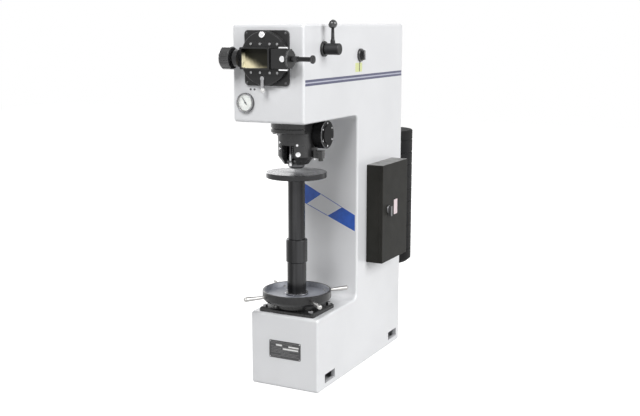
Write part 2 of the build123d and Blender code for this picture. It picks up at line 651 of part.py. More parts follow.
def weight_hanger():
    """Clevis on the beam's tail, the rod below it and the bevelled bottom plate."""
    inner = BEAM_W / 2 + 2
    outer = inner + CLEVIS_T
    clevis = block((-outer, outer), (STACK_Y - 16, STACK_Y + 16), (BEAM_LOW - 36, BEAM_Z))
    clevis += rod_x(16, (-outer, outer), STACK_Y, BEAM_Z)
    clevis -= block((-inner, inner), (STACK_Y - 2 * 16, STACK_Y + 2 * 16),
                    (BEAM_LOW - 14, BEAM_Z + 2 * 16))
    clevis -= rod_x(BEAM_PIN_R + RUN, (-outer - 1, outer + 1), STACK_Y, BEAM_Z)
    rod = clevis + rod_z(HANGER_R, 0, STACK_Y, (STACK_BOTTOM + 6, BEAM_LOW - 36))
    z = STACK_BOTTOM
    plate = turned((0, z), (DISC_R - 14, z), (DISC_R, z + 12), (DISC_R, z + PLATE_H - DISC_EDGE),
                   (DISC_R - DISC_EDGE, z + PLATE_H), (0, z + PLATE_H))
    plate = Pos(0, STACK_Y, 0) * plate
    return [rod, plate - rod_z(HANGER_R + SEAT, 0, STACK_Y, (z + 6, z + PLATE_H + 1))]


def weight_disc(low, height):
    """One disc with bevelled edges and the bore for the hanger."""
    high = low + height
    disc = turned(
        (HANGER_R + 1.5, low), (DISC_R - DISC_EDGE, low), (DISC_R, low + DISC_EDGE),
        (DISC_R, high - DISC_EDGE), (DISC_R - DISC_EDGE, high), (HANGER_R + 1.5, high),
    )
    return Pos(0, STACK_Y, 0) * disc


def weight_discs():
    """Nine equal discs and the thinner one on top."""
    low = STACK_BOTTOM + PLATE_H
    discs = [weight_disc(low + i * DISC_H, DISC_H) for i in range(DISC_COUNT)]
    return discs + [weight_disc(low + DISC_COUNT * DISC_H, TOP_DISC_H)]


def arm_pin_place():
    """Offset of an arm's pin from its shaft at rest, as (dy, dz)."""
    return ARM_L * cos(radians(ARM_ANGLE)), ARM_L * sin(radians(ARM_ANGLE))


def arm(x, y, z, pin_x):
    """Flat arm with a boss at each end and the pin that the connecting rod turns on."""
    dy, dz = arm_pin_place()
    bar = Pos(0, y + dy / 2, z + dz / 2) * Rot(ARM_ANGLE, 0, 0) * Box(x[1] - x[0], ARM_L, 16)
    bar = Pos((x[0] + x[1]) / 2, 0, 0) * bar
    shape = bar + rod_x(14, x, y, z) + rod_x(9, x, y + dy, z + dz)
    return shape + rod_x(LINK_PIN_R, pin_x, y + dy, z + dz)


def crank_shaft():
    """Shaft through the head's side wall with its inner arm and link pin."""
    arm_x = (LINK_X[1] + 2, LINK_X[1] + 12)
    shaft = rod_x(SHAFT_R, (arm_x[0], CRANK_HUB_X[1] - 6), CRANK_Y, CRANK_Z)
    return shaft + arm(arm_x, CRANK_Y, CRANK_Z, (LINK_X[0] - 3, arm_x[0]))


def crank_boss():
    """Flanged bearing bush of the crank shaft in the side wall."""
    boss = rod_x(SHAFT_R + 6, (HALF - WALL - 4, HALF), CRANK_Y, CRANK_Z)
    flange = rod_x(BOSS_R, (HALF, HALF + BOSS_T), CRANK_Y, CRANK_Z)
    flange = chamfer(flange.faces().sort_by(Axis.X)[-1].edges(), 2)
    bore = rod_x(SHAFT_R + RUN, (HALF - WALL - 5, HALF + BOSS_T + 1), CRANK_Y, CRANK_Z)
    return boss + flange - bore


def crank_lever():
    """Hub on the shaft with the lever arm that stands up from it."""
    hub = rod_x(CRANK_HUB_R, CRANK_HUB_X, CRANK_Y, CRANK_Z)
    hub = chamfer(hub.edges().filter_by(GeomType.CIRCLE), 2)
    lever = turned((0, 0), (LEVER_R + 2, 0), (LEVER_R + 2, 26), (LEVER_R, 30),
                   (LEVER_R - 1, LEVER_L - 6), (0, LEVER_L - 6))
    hub += Pos(LEVER_X, CRANK_Y, CRANK_Z) * lever
    return hub - rod_x(SHAFT_R + SEAT, (CRANK_HUB_X[0] - 1, CRANK_HUB_X[1] - 6), CRANK_Y, CRANK_Z)


def crank_knob():
    """Ball knob on the lever."""
    centre = CRANK_Z + LEVER_L
    ball = Pos(LEVER_X, CRANK_Y, centre) * Sphere(KNOB_BALL_R)
    return ball - rod_z(LEVER_R + SEAT, LEVER_X, CRANK_Y, (centre - 20, centre - 6))


def connecting_rod():
    """Rod that turns the lifter with the crank, an eye on each pin."""
    dy, dz = arm_pin_place()
    a = (CRANK_Y + dy, CRANK_Z + dz)
    b = (LIFTER_Y + dy, LIFTER_Z + dz)
    length = ((b[0] - a[0]) ** 2 + (b[1] - a[1]) ** 2) ** 0.5
    middle_x = (LINK_X[0] + LINK_X[1]) / 2
    direction = Plane(origin=(middle_x, a[0], a[1]), z_dir=(0, b[0] - a[0], b[1] - a[1]),
                      x_dir=(1, 0, 0))
    bar = direction * Pos(0, 0, length / 2) * Box(LINK_X[1] - LINK_X[0], 14, length)
    rod = bar + rod_x(11, LINK_X, *a) + rod_x(11, LINK_X, *b)
    for y, z in (a, b):
        rod -= rod_x(LINK_PIN_R + RUN, (LINK_X[0] - 1, LINK_X[1] + 1), y, z)
    return rod


def cam_outline():
    """Cam whose support distance grows by the same amount for each degree of turn.

    A point at direction q lies at h(q) along q and h'(q) across it, with h linear in q.
    """
    rise = (LIFTER_Y - FULCRUM_Y) * tan(radians(BEAM_TILT))
    slope = rise / radians(CRANK_TURN)
    start = BEAM_LOW - LIFTER_Z - GAP
    points = []
    for i in range(10):
        q = radians(90 - CRANK_TURN * i / 9)
        h = start + slope * (pi / 2 - q)
        points.append((h * cos(q) + slope * sin(q), h * sin(q) - slope * cos(q)))
    return make_face(Spline(*points) + Polyline(points[-1], (0, 0), points[0]))


def lifter_shaft():
    """Cross shaft with the cam under the beam and the arm that the connecting rod turns."""
    arm_x = (LINK_X[0] - 12, LINK_X[0] - 2)
    shaft = rod_x(SHAFT_R, (-42, arm_x[1]), LIFTER_Y, LIFTER_Z)
    cam = extrude(Plane.YZ * cam_outline(), amount=CAM_W / 2, both=True)
    shaft += Pos(0, LIFTER_Y, LIFTER_Z) * cam
    shaft += rod_x(16, (-CAM_W / 2, CAM_W / 2), LIFTER_Y, LIFTER_Z)
    return shaft + arm(arm_x, LIFTER_Y, LIFTER_Z, (arm_x[1], LINK_X[1] + 1))


def lifter_bracket():
    """Cross bar between the column's sides with two ears for the lifter shaft."""
    low = LIFTER_Z - 60
    inside = HALF - WALL
    body = block((-inside, inside), (LIFTER_Y - 25, LIFTER_Y + 25), (low, low + 18))
    for x in ((-38, -26), (24, 35)):
        ear = block(x, (LIFTER_Y - 18, LIFTER_Y + 18), (low + 18, LIFTER_Z)) + rod_x(
            18, x, LIFTER_Y, LIFTER_Z)
        body += ear - rod_x(SHAFT_R + RUN, (x[0] - 1, x[1] + 1), LIFTER_Y, LIFTER_Z)
    return body


def dashpot_cylinder():
    """Oil cylinder with its arm on the column's front wall."""
    low, high = DASHPOT_Z
    body = rod_z(DASHPOT_R, 0, DASHPOT_Y, DASHPOT_Z)
    body += block((-18, 18), (COLUMN_FRONT + WALL, DASHPOT_Y - 20), (low + 20, low + 60))
    return body - rod_z(DASHPOT_BORE, 0, DASHPOT_Y, (low + 8, high + 1))


def dashpot_piston():
    """Piston, its rod and the stirrup that the beam moves."""
    low, high = DASHPOT_Z
    piston = rod_z(DASHPOT_BORE - RUN, 0, DASHPOT_Y, (low + 60, low + 78))
    rod = rod_z(6, 0, DASHPOT_Y, (low + 78, BEAM_LOW - 14))
    inner, outer = BEAM_W / 2 + 2, BEAM_W / 2 + 9
    clear = 0.4
    yoke = block((-outer, outer), (DASHPOT_Y - 9, DASHPOT_Y + 9),
                 (BEAM_LOW - 14, BEAM_LOW + BEAM_H + 12))
    yoke -= block((-inner, inner), (DASHPOT_Y - 10, DASHPOT_Y + 10),
                  (BEAM_LOW - clear, BEAM_LOW + BEAM_H + clear))
    return piston + rod + yoke


# ---------------------------------------------------------------- measuring screen
def screen_plate():
    """Square plate on the head's front with the bore that the measuring ring turns in."""
    plate = Pos(0, HEAD_FRONT, SCREEN_Z) * rounded_plate(*PLATE_SIZE, PLATE_R, PLATE_T)
    plate = chamfer(plate.faces().sort_by(Axis.Y)[0].edges(), 1.5)
    return plate - rod_y(RING_SPIGOT_R + RUN, 0, (PLATE_FRONT - 1, HEAD_FRONT + 1), SCREEN_Z)


def measuring_ring():
    """Turning ring with its spigot in the plate and the window through it."""
    ring = rod_y(RING_R, 0, (RING_FRONT, PLATE_FRONT), SCREEN_Z)
    ring = chamfer(ring.faces().sort_by(Axis.Y)[0].edges(), 2.5)
    ring += rod_y(RING_SPIGOT_R, 0, (PLATE_FRONT, HEAD_FRONT - 0.5), SCREEN_Z)
    half_w = (WINDOW_X[1] - WINDOW_X[0]) / 2 - 12
    half_h = WINDOW_H / 2 - 5
    return ring - block((-half_w, half_w), (RING_FRONT - 1, HEAD_FRONT + 1),
                        (SCREEN_Z - half_h, SCREEN_Z + half_h))


def screen_hood():
    """Flange plate with the viewing hood, the micrometer's box and the knob's bearing."""
    front = RING_FRONT
    z = SCREEN_Z
    plate = block(FLANGE_PLATE, (front - FLANGE_PLATE_T, front),
                  (z - FLANGE_PLATE_H / 2, z + FLANGE_PLATE_H / 2))
    plate = chamfer(plate.edges().filter_by(Axis.Y), 14)
    hood = block(HOOD_X, (front - HOOD_DEPTH, front), (z - HOOD_H / 2, z + HOOD_H / 2))
    hood = fillet(hood.edges().filter_by(Axis.Y), 4)
    box = block((HOOD_X[1], GEARBOX_X), (front - GEARBOX_DEPTH, front),
                (z - GEARBOX_H / 2, z + GEARBOX_H / 2))
    box = chamfer(box.edges().filter_by(Axis.Z).sort_by(Axis.Y)[:2], 4)
    neck = rod_x(BARREL_R, (KNOB_X[1] + 10, HOOD_X[0]), SPINDLE_Y, z)
    barrel = rod_x(BARREL_R, BARREL_X, SPINDLE_Y, z)
    body = plate + hood + box + neck + barrel
    body -= block((-200, 200), (front, HEAD_FRONT), (z - 200, z + 200))
    half_h = WINDOW_H / 2
    opening = block(WINDOW_X, (front - HOOD_DEPTH - 1, front - GLASS_T), (z - half_h, z + half_h))
    opening = fillet(opening.edges().filter_by(Axis.Y), 3)
    glass_seat = block((WINDOW_X[0], WINDOW_X[1]), (front - GLASS_T, front + 1),
                       (z - half_h, z + half_h))
    body -= opening + glass_seat
    body -= rod_x(NECK_R + RUN, (KNOB_X[1], KNOB_X[1] + 24), SPINDLE_Y, z)
    return body - rod_x(THIMBLE_R - 1.5 + RUN, (BARREL_X[0] + 1, BARREL_X[1] + 1), SPINDLE_Y, z)


def screen_glass():
    """Ground glass of the viewing hood."""
    half_h = WINDOW_H / 2 - SEAT
    return block((WINDOW_X[0] + SEAT, WINDOW_X[1] - SEAT), (RING_FRONT - GLASS_T, RING_FRONT),
                 (SCREEN_Z - half_h, SCREEN_Z + half_h))


def hood_screws():
    """Bright screws above and below the hood, the box's rails and cross knob, the ring's knob."""
    y = RING_FRONT - FLANGE_PLATE_T
    rows = []
    for dz in (FLANGE_PLATE_H / 2 - 7, -FLANGE_PLATE_H / 2 + 7):
        for x in (-40, -8, 26, 52):
            rows.append(rod_y(SCREW_R, x, (y - SCREW_H, y), SCREEN_Z + dz))
    face = RING_FRONT - GEARBOX_DEPTH
    top = GEARBOX_H / 2
    for side in (-1, 1):
        rail = rod_x(RAIL_R, RAIL_X, RING_FRONT - 16, SCREEN_Z + side * (top + RAIL_R - 0.5))
        rail -= block(RAIL_X, (face, RING_FRONT), (SCREEN_Z - top, SCREEN_Z + top))
        rows.append(rail)
    cross = rod_y(CROSS_KNOB_R, CROSS_KNOB_X, (face - 7, face), SCREEN_Z)
    rows.append(chamfer(cross.faces().sort_by(Axis.Y)[0].edges(), 1))
    across, up = RING_KNOB_AT
    dome = rod_y(RING_KNOB_R, across, (RING_FRONT - 9, RING_FRONT), SCREEN_Z + up)
    rows.append(fillet(dome.faces().sort_by(Axis.Y)[0].edges(), 4))
    return rows


def focus_knob():
    """Scalloped knob on the left end of the hood."""
    knob = rod_x(KNOB_R, KNOB_X, SPINDLE_Y, SCREEN_Z)
    knob = chamfer(knob.edges().filter_by(GeomType.CIRCLE), 3)
    for i in range(10):
        a = radians(36 * i + 18)
        cut = rod_x(6, (KNOB_X[0] - 1, KNOB_X[1] + 1), SPINDLE_Y + (KNOB_R + 2.5) * cos(a),
                    SCREEN_Z + (KNOB_R + 2.5) * sin(a))
        knob -= cut
    return knob + rod_x(NECK_R, (KNOB_X[1], KNOB_X[1] + 23), SPINDLE_Y, SCREEN_Z)


def micrometer_thimble():
    """Micrometer shaft with its thimble and ratchet end."""
    z = SCREEN_Z
    start = BARREL_X[1] + GAP
    body = rod_x(THIMBLE_R - 1.5, (BARREL_X[0] + 2, start), SPINDLE_Y, z)
    body += rod_x(THIMBLE_R + 1.5, (start, start + 24), SPINDLE_Y, z)
    body += rod_x(THIMBLE_R, (start + 24, THIMBLE_X - 9), SPINDLE_Y, z)
    end = rod_x(RATCHET_R, (THIMBLE_X - 9, THIMBLE_X), SPINDLE_Y, z)
    return body + chamfer(end.edges().filter_by(GeomType.CIRCLE), 1.5)


def shift_lever():
    """Small lever with a round knob, pivoted on the ring's lower edge."""
    x, z = -3.0, SCREEN_Z - 61
    front = RING_FRONT - FLANGE_PLATE_T if abs(z - SCREEN_Z) < FLANGE_PLATE_H / 2 else RING_FRONT
    blade = block((x - 5, x + 5), (front - 4, front), (z - 30, z)) + rod_y(7, x, (front - 4, front), z)
    knob = Pos(x, front - 2, z - 36) * Sphere(7)
    return blade + knob


def projection_tube():
    """Light tube behind the screen with the mirror box on its end."""
    y = (HEAD_FRONT, HEAD_FRONT + TUBE_L)
    tube = rod_y(TUBE_R, 0, y, SCREEN_Z) - rod_y(TUBE_R - 3, 0, (y[0] - 1, y[1] + 1), SCREEN_Z)
    return tube


def projection_mirror():
    """Slanted mirror in the light tube."""
    y = HEAD_FRONT + TUBE_L - 40
    mirror = Pos(0, y, SCREEN_Z) * Rot(45, 0, 0) * Box(2 * TUBE_R - 34, MIRROR_T, 2 * TUBE_R - 34)
    frame = block((-TUBE_R + 3.3, TUBE_R - 3.3), (y - 3, y + 3), (SCREEN_Z - 4, SCREEN_Z + 4))
    return mirror + frame


# ---------------------------------------------------------------- gauge, switch, type plate
def gauge_case():
    """Round case of the load gauge with its stem through the wall."""
    y = (HEAD_FRONT - GAUGE_T, HEAD_FRONT)
    case = rod_y(GAUGE_R, GAUGE_X, y, GAUGE_Z)
    case = chamfer(case.faces().sort_by(Axis.Y)[0].edges(), 1.5)
    case -= rod_y(GAUGE_R - 4, GAUGE_X, (y[0] - 1, y[1] - 3), GAUGE_Z)
    stem = rod_y(8, GAUGE_X, (HEAD_FRONT, HEAD_FRONT + WALL + 12), GAUGE_Z)
    return case + stem - rod_y(1.5 + RUN, GAUGE_X, (y[0], y[1] + 9), GAUGE_Z)


def gauge_dial():
    """White dial on the floor of the case."""
    y = HEAD_FRONT - 3
    dial = rod_y(GAUGE_R - 4 - SEAT, GAUGE_X, (y - 1, y), GAUGE_Z)
    return dial - rod_y(2, GAUGE_X, (y - 2, y + 1), GAUGE_Z)


def gauge_glass():
    """Glass in the bezel."""
    y = HEAD_FRONT - GAUGE_T + 1
    return rod_y(GAUGE_R - 4 - SEAT, GAUGE_X, (y, y + 1.5), GAUGE_Z)


def gauge_pointer():
    """Pointer on its arbor."""
    y = HEAD_FRONT - 4
    arbor = rod_y(1.5, GAUGE_X, (y - 2.5, HEAD_FRONT + 6), GAUGE_Z)
    hub = rod_y(3, GAUGE_X, (y - 2.5, y - 1), GAUGE_Z)
    needle = make_face(Polyline((-1.6, -8), (1.6, -8), (0.4, 21), (-0.4, 21), close=True))
    needle = Pos(GAUGE_X, y - 1, GAUGE_Z) * Rot(0, -35, 0) * extrude(Plane.XZ * needle, amount=1)
    return arbor + hub + needle


def switch_knob():
    """Rotary switch on the side wall with its bar grip."""
    x = HALF
    disc = rod_x(SWITCH_R, (x + GAP, x + 8), SWITCH_Y, SWITCH_Z)
    disc = chamfer(disc.faces().sort_by(Axis.X)[-1].edges(), 2)
    grip = block((x + 8, x + 18), (SWITCH_Y - 5, SWITCH_Y + 5), (SWITCH_Z - 16, SWITCH_Z + 16))
    grip = fillet(grip.edges().filter_by(Axis.X), 4)
    return disc + grip + rod_x(6, (x - WALL, x + GAP), SWITCH_Y, SWITCH_Z)


def type_plate():
    """Blank plate on the front of the base."""
    x, z = TYPE_PLATE_AT
    return Pos(x, BASE_FRONT, z) * rounded_plate(*TYPE_PLATE, 3, TYPE_PLATE_T)


# ---------------------------------------------------------------- electrical cabinet
def hinge_heights():
    """Middle heights of the two cabinet hinges."""
    return CAB_Z[0] + 60, CAB_Z[1] - 60


def hinge_knuckle(z, length):
    """Barrel of a hinge at the cabinet's rear edge, bored for its pin."""
    y = CAB_Y[1] + HINGE_OUT
    barrel = rod_z(HINGE_R, DOOR_X, y, (z - length / 2, z + length / 2))
    return barrel - rod_z(HINGE_PIN_R + RUN, DOOR_X, y, (z - length, z + length))


def cabinet_box():
    """Folded steel box on the column's side with its fixed hinge knuckles."""
    x = (HALF, DOOR_X - GAP)
    box = block(x, CAB_Y, CAB_Z)
    box = fillet(box.edges().filter_by(Axis.X), 4)
    w = CAB_WALL
    box -= block((x[0] + w, x[1] + 1), (CAB_Y[0] + w, CAB_Y[1] - w), (CAB_Z[0] + w, CAB_Z[1] - w))
    box -= rod_x(12, (HALF - 1, HALF + w + 1), sum(CAB_Y) / 2, CAB_Z[0] + CABLE_UP)
    for z in hinge_heights():
        for dz in (-17, 17):
            leaf = block((DOOR_X - 14, DOOR_X - GAP), (CAB_Y[1] - 1, CAB_Y[1] + 2),
                         (z + dz - 7.5, z + dz + 7.5))
            box += leaf + hinge_knuckle(z + dz, 15)
    return box


def cabinet_pins():
    """Two hinge pins."""
    y = CAB_Y[1] + HINGE_OUT
    return [rod_z(HINGE_PIN_R, DOOR_X, y, (z - 26, z + 26)) for z in hinge_heights()]


def cabinet_door():
    """Folded door with returned edges, its moving knuckles and the latch's hole."""
    x = (DOOR_X, CAB_X)
    door = block(x, CAB_Y, CAB_Z)
    door = fillet(door.edges().filter_by(Axis.X), 4)
    door = fillet(door.faces().sort_by(Axis.X)[-1].edges(), 2)
    w = CAB_WALL
    door -= block((x[0] - 1, x[1] - w), (CAB_Y[0] + w, CAB_Y[1] - w), (CAB_Z[0] + w, CAB_Z[1] - w))
    for z in hinge_heights():
        leaf = block((DOOR_X + 0.5, DOOR_X + 12), (CAB_Y[1] - 1, CAB_Y[1] + 2), (z - 8.8, z + 8.8))
        door += leaf + hinge_knuckle(z, 17.6)
    return door - rod_x(6 + RUN, (CAB_X - w - 1, CAB_X + 1), LATCH_Y, LATCH_Z)


def door_latch():
    """Quarter-turn handle with its rose, spindle and the tongue that goes behind the strike."""
    rose = rod_x(14, (CAB_X, CAB_X + 4), LATCH_Y, LATCH_Z)
    rose = chamfer(rose.faces().sort_by(Axis.X)[-1].edges(), 1)
    grip = block((CAB_X + 4, CAB_X + 14), (LATCH_Y - 5, LATCH_Y + 5), (LATCH_Z - 24, LATCH_Z + 12))
    grip = fillet(grip.edges().filter_by(Axis.X), 4)
    tongue_x = (DOOR_X - GAP - CAB_WALL - 4, DOOR_X - GAP - CAB_WALL - 1)
    spindle = rod_x(6, (tongue_x[1], CAB_X), LATCH_Y, LATCH_Z)
    tongue = block(tongue_x, (LATCH_Y - 8, LATCH_Y + 8), (LATCH_Z - 8, LATCH_Z + TONGUE_L))
    return rose + grip + spindle + tongue


def cabinet_fittings():
    """Mains transformer, a rail with its row of terminals, and the strike of the latch."""
    x0 = HALF + CAB_WALL
    y, z = CAB_Y[0] + TRANSFORMER_AT[0], CAB_Z[0] + TRANSFORMER_AT[1]
    core = block((x0, x0 + 34), (y - 32, y + 32), (z - 28, z + 28))
    coil = block((x0 + 2, x0 + 40), (y - 20, y + 20), (z - 40, z + 40))
    y, z = CAB_Y[1] - TERMINALS_AT[0], CAB_Z[1] - TERMINALS_AT[1]
    terminals = block((x0, x0 + 5), (y - 12, y + 12), (z - 70, z + 70))
    for i in range(8):
        low = z - 60 + i * 15
        terminals += block((x0 + 5, x0 + 26), (y - 10, y + 10), (low, low + 12))
    wall = CAB_Y[0] + CAB_WALL
    strike = block((DOOR_X - GAP - CAB_WALL, DOOR_X - GAP), (wall, wall + STRIKE[0]),
                   (LATCH_Z - STRIKE[1] / 2, LATCH_Z + STRIKE[1] / 2))
    return [core + coil, terminals, strike]


# ---------------------------------------------------------------- build
PIECES = {
    "frame_casting": frame_casting, "head_cover": head_cover, "rear_cover": rear_cover,
    "cover_screws": cover_screws, "type_plate": type_plate,
    "screen_plate": screen_plate, "projection_tube": projection_tube,
    "projection_mirror": projection_mirror, "gauge_case": gauge_case, "gauge_dial": gauge_dial,
    "gauge_glass": gauge_glass, "gauge_pointer": gauge_pointer, "crank_boss": crank_boss,
    "nose_flange": nose_flange, "nose_body": nose_body, "nose_bolts": nose_bolts,
    "nose_rods": nose_rods, "lamp_drum": lamp_drum, "lamp_cover": lamp_cover,
    "objective_arm": objective_arm,
    "fulcrum_block": fulcrum_block, "lifter_bracket": lifter_bracket,
    "dashpot_cylinder": dashpot_cylinder, "pedestal": pedestal,
    "pedestal_bolts": pedestal_bolts, "thrust_bearing": thrust_bearing,
    "elevating_nut": elevating_nut, "handwheel": handwheel, "wheel_rods": wheel_rods,
    "lower_tube": lower_tube, "tube_collar": tube_collar, "upper_tube": upper_tube,
    "lead_screw": lead_screw, "table": table, "crank_shaft": crank_shaft,
    "crank_lever": crank_lever, "crank_knob": crank_knob, "connecting_rod": connecting_rod,
    "lifter_shaft": lifter_shaft, "load_beam": load_beam, "beam_pins": beam_pins,
    "weight_hanger": weight_hanger, "weight_discs": weight_discs,
    "dashpot_piston": dashpot_piston, "indenter_plunger": indenter_plunger,
    "clamp_sleeve": clamp_sleeve, "sleeve_spring": sleeve_spring,
    "measuring_ring": measuring_ring, "screen_hood": screen_hood, "screen_glass": screen_glass,
    "hood_screws": hood_screws, "focus_knob": focus_knob,
    "micrometer_thimble": micrometer_thimble, "shift_lever": shift_lever,
    "switch_knob": switch_knob, "cabinet_box": cabinet_box, "cabinet_pins": cabinet_pins,
    "cabinet_door": cabinet_door, "door_latch": door_latch,
    "cabinet_fittings": cabinet_fittings,
}

for name, make in PIECES.items():
    made = make()
    save(name, *(made if isinstance(made, list) else [made]))
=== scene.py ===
"""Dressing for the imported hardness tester: finishes, small fittings and the stage.

Laid out as an add-on with one operator for each piece or group of like pieces, and run as a script.
Lengths inside the functions are in millimetres; meshes are stored in metres.
"""

import math
from functools import cache

import bpy
import numpy as np
from bpy.props import FloatProperty, FloatVectorProperty, IntProperty, PointerProperty
from mathutils import Euler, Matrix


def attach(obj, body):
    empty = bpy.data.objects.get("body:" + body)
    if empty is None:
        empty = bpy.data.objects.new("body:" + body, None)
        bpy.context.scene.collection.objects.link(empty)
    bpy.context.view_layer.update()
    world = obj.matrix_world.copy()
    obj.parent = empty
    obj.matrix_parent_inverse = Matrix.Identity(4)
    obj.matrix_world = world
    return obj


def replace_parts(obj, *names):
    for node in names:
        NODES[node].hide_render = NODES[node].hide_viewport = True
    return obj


bl_info = {
    "name": "Hardness tester dressing",
    "version": (1, 0, 0),
    "blender": (4, 5, 0),
    "location": "View3D > Sidebar > Hardness tester",
    "description": "Finishes and small fittings for an optical dead-weight hardness tester",
    "category": "Object",
}

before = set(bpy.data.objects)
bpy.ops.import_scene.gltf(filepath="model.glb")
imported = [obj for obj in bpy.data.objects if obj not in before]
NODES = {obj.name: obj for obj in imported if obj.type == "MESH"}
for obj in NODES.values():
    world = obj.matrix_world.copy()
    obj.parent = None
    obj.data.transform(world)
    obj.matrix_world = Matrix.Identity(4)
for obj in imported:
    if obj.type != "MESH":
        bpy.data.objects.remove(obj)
MM = 0.001
CREASE = math.radians(32)  # edges that turn more than this stay sharp

# Places on the part, in millimetres.
SIDE_X = 125  # right side wall of the casting
HEAD_Y = -180  # front of the head
PLATE_Y = -190  # front of the screen plate
COLUMN_Y = 205  # front of the column
REAR_Y = 589  # back of the rear cover
SCREW_SEAT = 1188.4  # floor of the screw holes in the head cover
SCREEN_Z = 1088  # middle height of the measuring screen
OPENING_X = (-62, 30)  # sides of the hood's opening
OPENING_H = 58  # height of the hood's opening
SPILL_SHEETS_Y = -220  # middle of the sheets in the hood that carry the screen's painted light
BALL_TOP = SCREEN_Z - 90  # where the shift lever's ball begins
SPINDLE_Y = -229  # axis of the focus knob and the micrometer
BARREL_END = 108.8  # right end of the scale on the micrometer's barrel
BARREL_FACE = 26.45  # radius of that scale
GAUGE = (-78.5, 950)  # middle of the load gauge, x and z
DIAL_Y = -184  # face of its dial
DIAL_RADIUS = 24.2  # outer ends of its marks
LAMP = (36, 838)  # axis of the lamp housing, y and z
NOSE_RADIUS = 60  # drum of the test nose
WEIGHTS_Y = 712  # axis of the weights
CABINET_X = 186  # outside of the cabinet door
CABINET_TOP = 711  # lid of the cabinet
TYPE_PLATE = (3.5, -91.6, 132)  # middle of the type plate's front


# -------- surfaces
def skin(rings, closed=False):
    """Closed surface over rings of points, as (points, quads, triangles).

    Quads join neighbours, and each end is a fan to its ring's mean. With closed=True the last ring joins
    the first instead, as on a torus.
    """
    rings = np.asarray(rings, float)
    count, around = rings.shape[:2]
    index = np.arange(count * around).reshape(count, around)
    nxt = np.roll(index, -1, axis=0) if closed else index[1:]
    low = index if closed else index[:-1]
    quads = np.stack([low, np.roll(low, -1, 1), np.roll(nxt, -1, 1), nxt], -1).reshape(-1, 4)
    points = rings.reshape(-1, 3)
    fans = np.zeros((0, 3), int)
    if not closed:
        points = np.vstack([points, rings[0].mean(0), rings[-1].mean(0)])
        first, last, middle = index[0], index[-1], count * around
        fans = np.vstack([
            np.stack([np.full(around, middle), np.roll(first, -1), first], -1),
            np.stack([np.full(around, middle + 1), last, np.roll(last, -1)], -1),
        ])
    corners = np.vstack([quads[:, [0, 1, 2]], quads[:, [0, 2, 3]], fans])
    a, b, c = (points[corners[:, k]] - points.mean(0) for k in range(3))
    if np.einsum("ij,ij->i", a, np.cross(b, c)).sum() < 0:
        quads, fans = quads[:, ::-1], fans[:, ::-1]
    return points, quads, fans


def facing(shell, at, out, up=(0, 0, 1)):
    """Carries a shell from its own axes to the part: z goes along out, y as near up as it can, x across."""
    z = np.asarray(out, float) / np.linalg.norm(out)
    x = np.cross(up, z)
    x = np.cross((0, 1, 0), z) if np.linalg.norm(x) < 1e-6 else x
    x = x / np.linalg.norm(x)
    turn = np.stack([x, np.cross(z, x), z])
    return shell[0] @ turn + np.asarray(at, float), shell[1], shell[2]


def spun(profile, around=48, radius=None, ring=False):
    """Profile of (radius, height) pairs spun about z: x = r cos a, y = r sin a. radius(a, r, h) may reshape it.

    With ring=True the profile is a closed outline, spun to a ring with an open middle.
    """
    profile = np.asarray(profile, float)
    a = np.linspace(0, 2 * np.pi, around, endpoint=False)[None, :]
    r, h = profile[:, :1], profile[:, 1:]
    r = r + 0 * a if radius is None else radius(a, r, h)
    return skin(np.stack([r * np.cos(a), r * np.sin(a), h + 0 * r], -1), closed=ring)


def hoop(radius, section, around=64, tilt=1):
    """Torus: a ring of radius R whose section is an ellipse of half-axes section and section times tilt."""
    a = np.linspace(0, 2 * np.pi, around, endpoint=False)[:, None]
    b = np.linspace(0, 2 * np.pi, 12, endpoint=False)[None, :]
    r = radius + section * np.cos(b)
    return skin(np.stack([r * np.cos(a), r * np.sin(a), section * tilt * np.sin(b) + 0 * a], -1), closed=True)


def rounded(width, height, radius, steps=5):
    """Outline of a rectangle whose corners are quarter circles, as (n, 2) points counter-clockwise."""
    a = np.linspace(0, np.pi / 2, steps)
    centres = np.array([(1, 1), (-1, 1), (-1, -1), (1, -1)]) * (width / 2 - radius, height / 2 - radius)
    arcs = [c + radius * np.stack([np.cos(a + k * np.pi / 2), np.sin(a + k * np.pi / 2)], -1)
            for k, c in enumerate(centres)]
    return np.vstack(arcs)


def slab(outline, thick, edge=0, low=0):
    """Flat plate on an outline from z = low to low + thick, whose upper edge is pulled in by edge."""
    outline = np.asarray(outline, float)
    middle = outline.mean(0)
    size = np.abs(outline - middle).max(0)
    inner = middle + (outline - middle) * (1 - edge / size)
    levels = [(outline, low), (outline, low + thick - edge), (inner, low + thick)]
    return skin([np.column_stack([o, np.full(len(o), z)]) for o, z in levels])


def socket_screw(radius, height):
    """Cap screw: a spun head with a knurled flank, whose mouth is a hexagon, r = key / cos(a mod 60 - 30)."""
    key = radius * 0.5

    def flank(a, r, h):
        hexagon = key / np.cos((a % (np.pi / 3)) - np.pi / 6)
        knurl = 1 + 0.012 * np.sign(np.sin(24 * a))
        return np.where(r < key * 1.05, hexagon * r / key, np.where(r > radius * 0.99, r * knurl, r + 0 * a))

    inner = [(key, height), (key * 0.99, height * 0.45)]
    outer = [(radius, 0), (radius, height * 0.8), (radius * 0.93, height), (key * 1.25, height)]
    return spun(outer + inner, 48, flank)


def round_screw(radius, height):
    """Domed screw with a cross recess: height falls where the point lies inside the cross."""
    r = np.linspace(radius, radius * 0.04, 10)[:, None]
    a = np.linspace(0, 2 * np.pi, 40, endpoint=False)[None, :]
    x, y = r * np.cos(a), r * np.sin(a)
    dome = height * np.sqrt(np.clip(1 - 0.8 * (r / radius) ** 2, 0, 1)) + 0 * a
    wide, long = radius * 0.16, radius * 0.6
    cross = (np.minimum(np.abs(x), np.abs(y)) < wide) & (np.maximum(np.abs(x), np.abs(y)) < long)
    dome = np.where(cross, dome - height * 0.45, dome)
    foot = np.stack([x[0], y[0], 0 * x[0]], -1)[None]
    return skin(np.vstack([foot, np.stack([x, y, dome], -1)]))


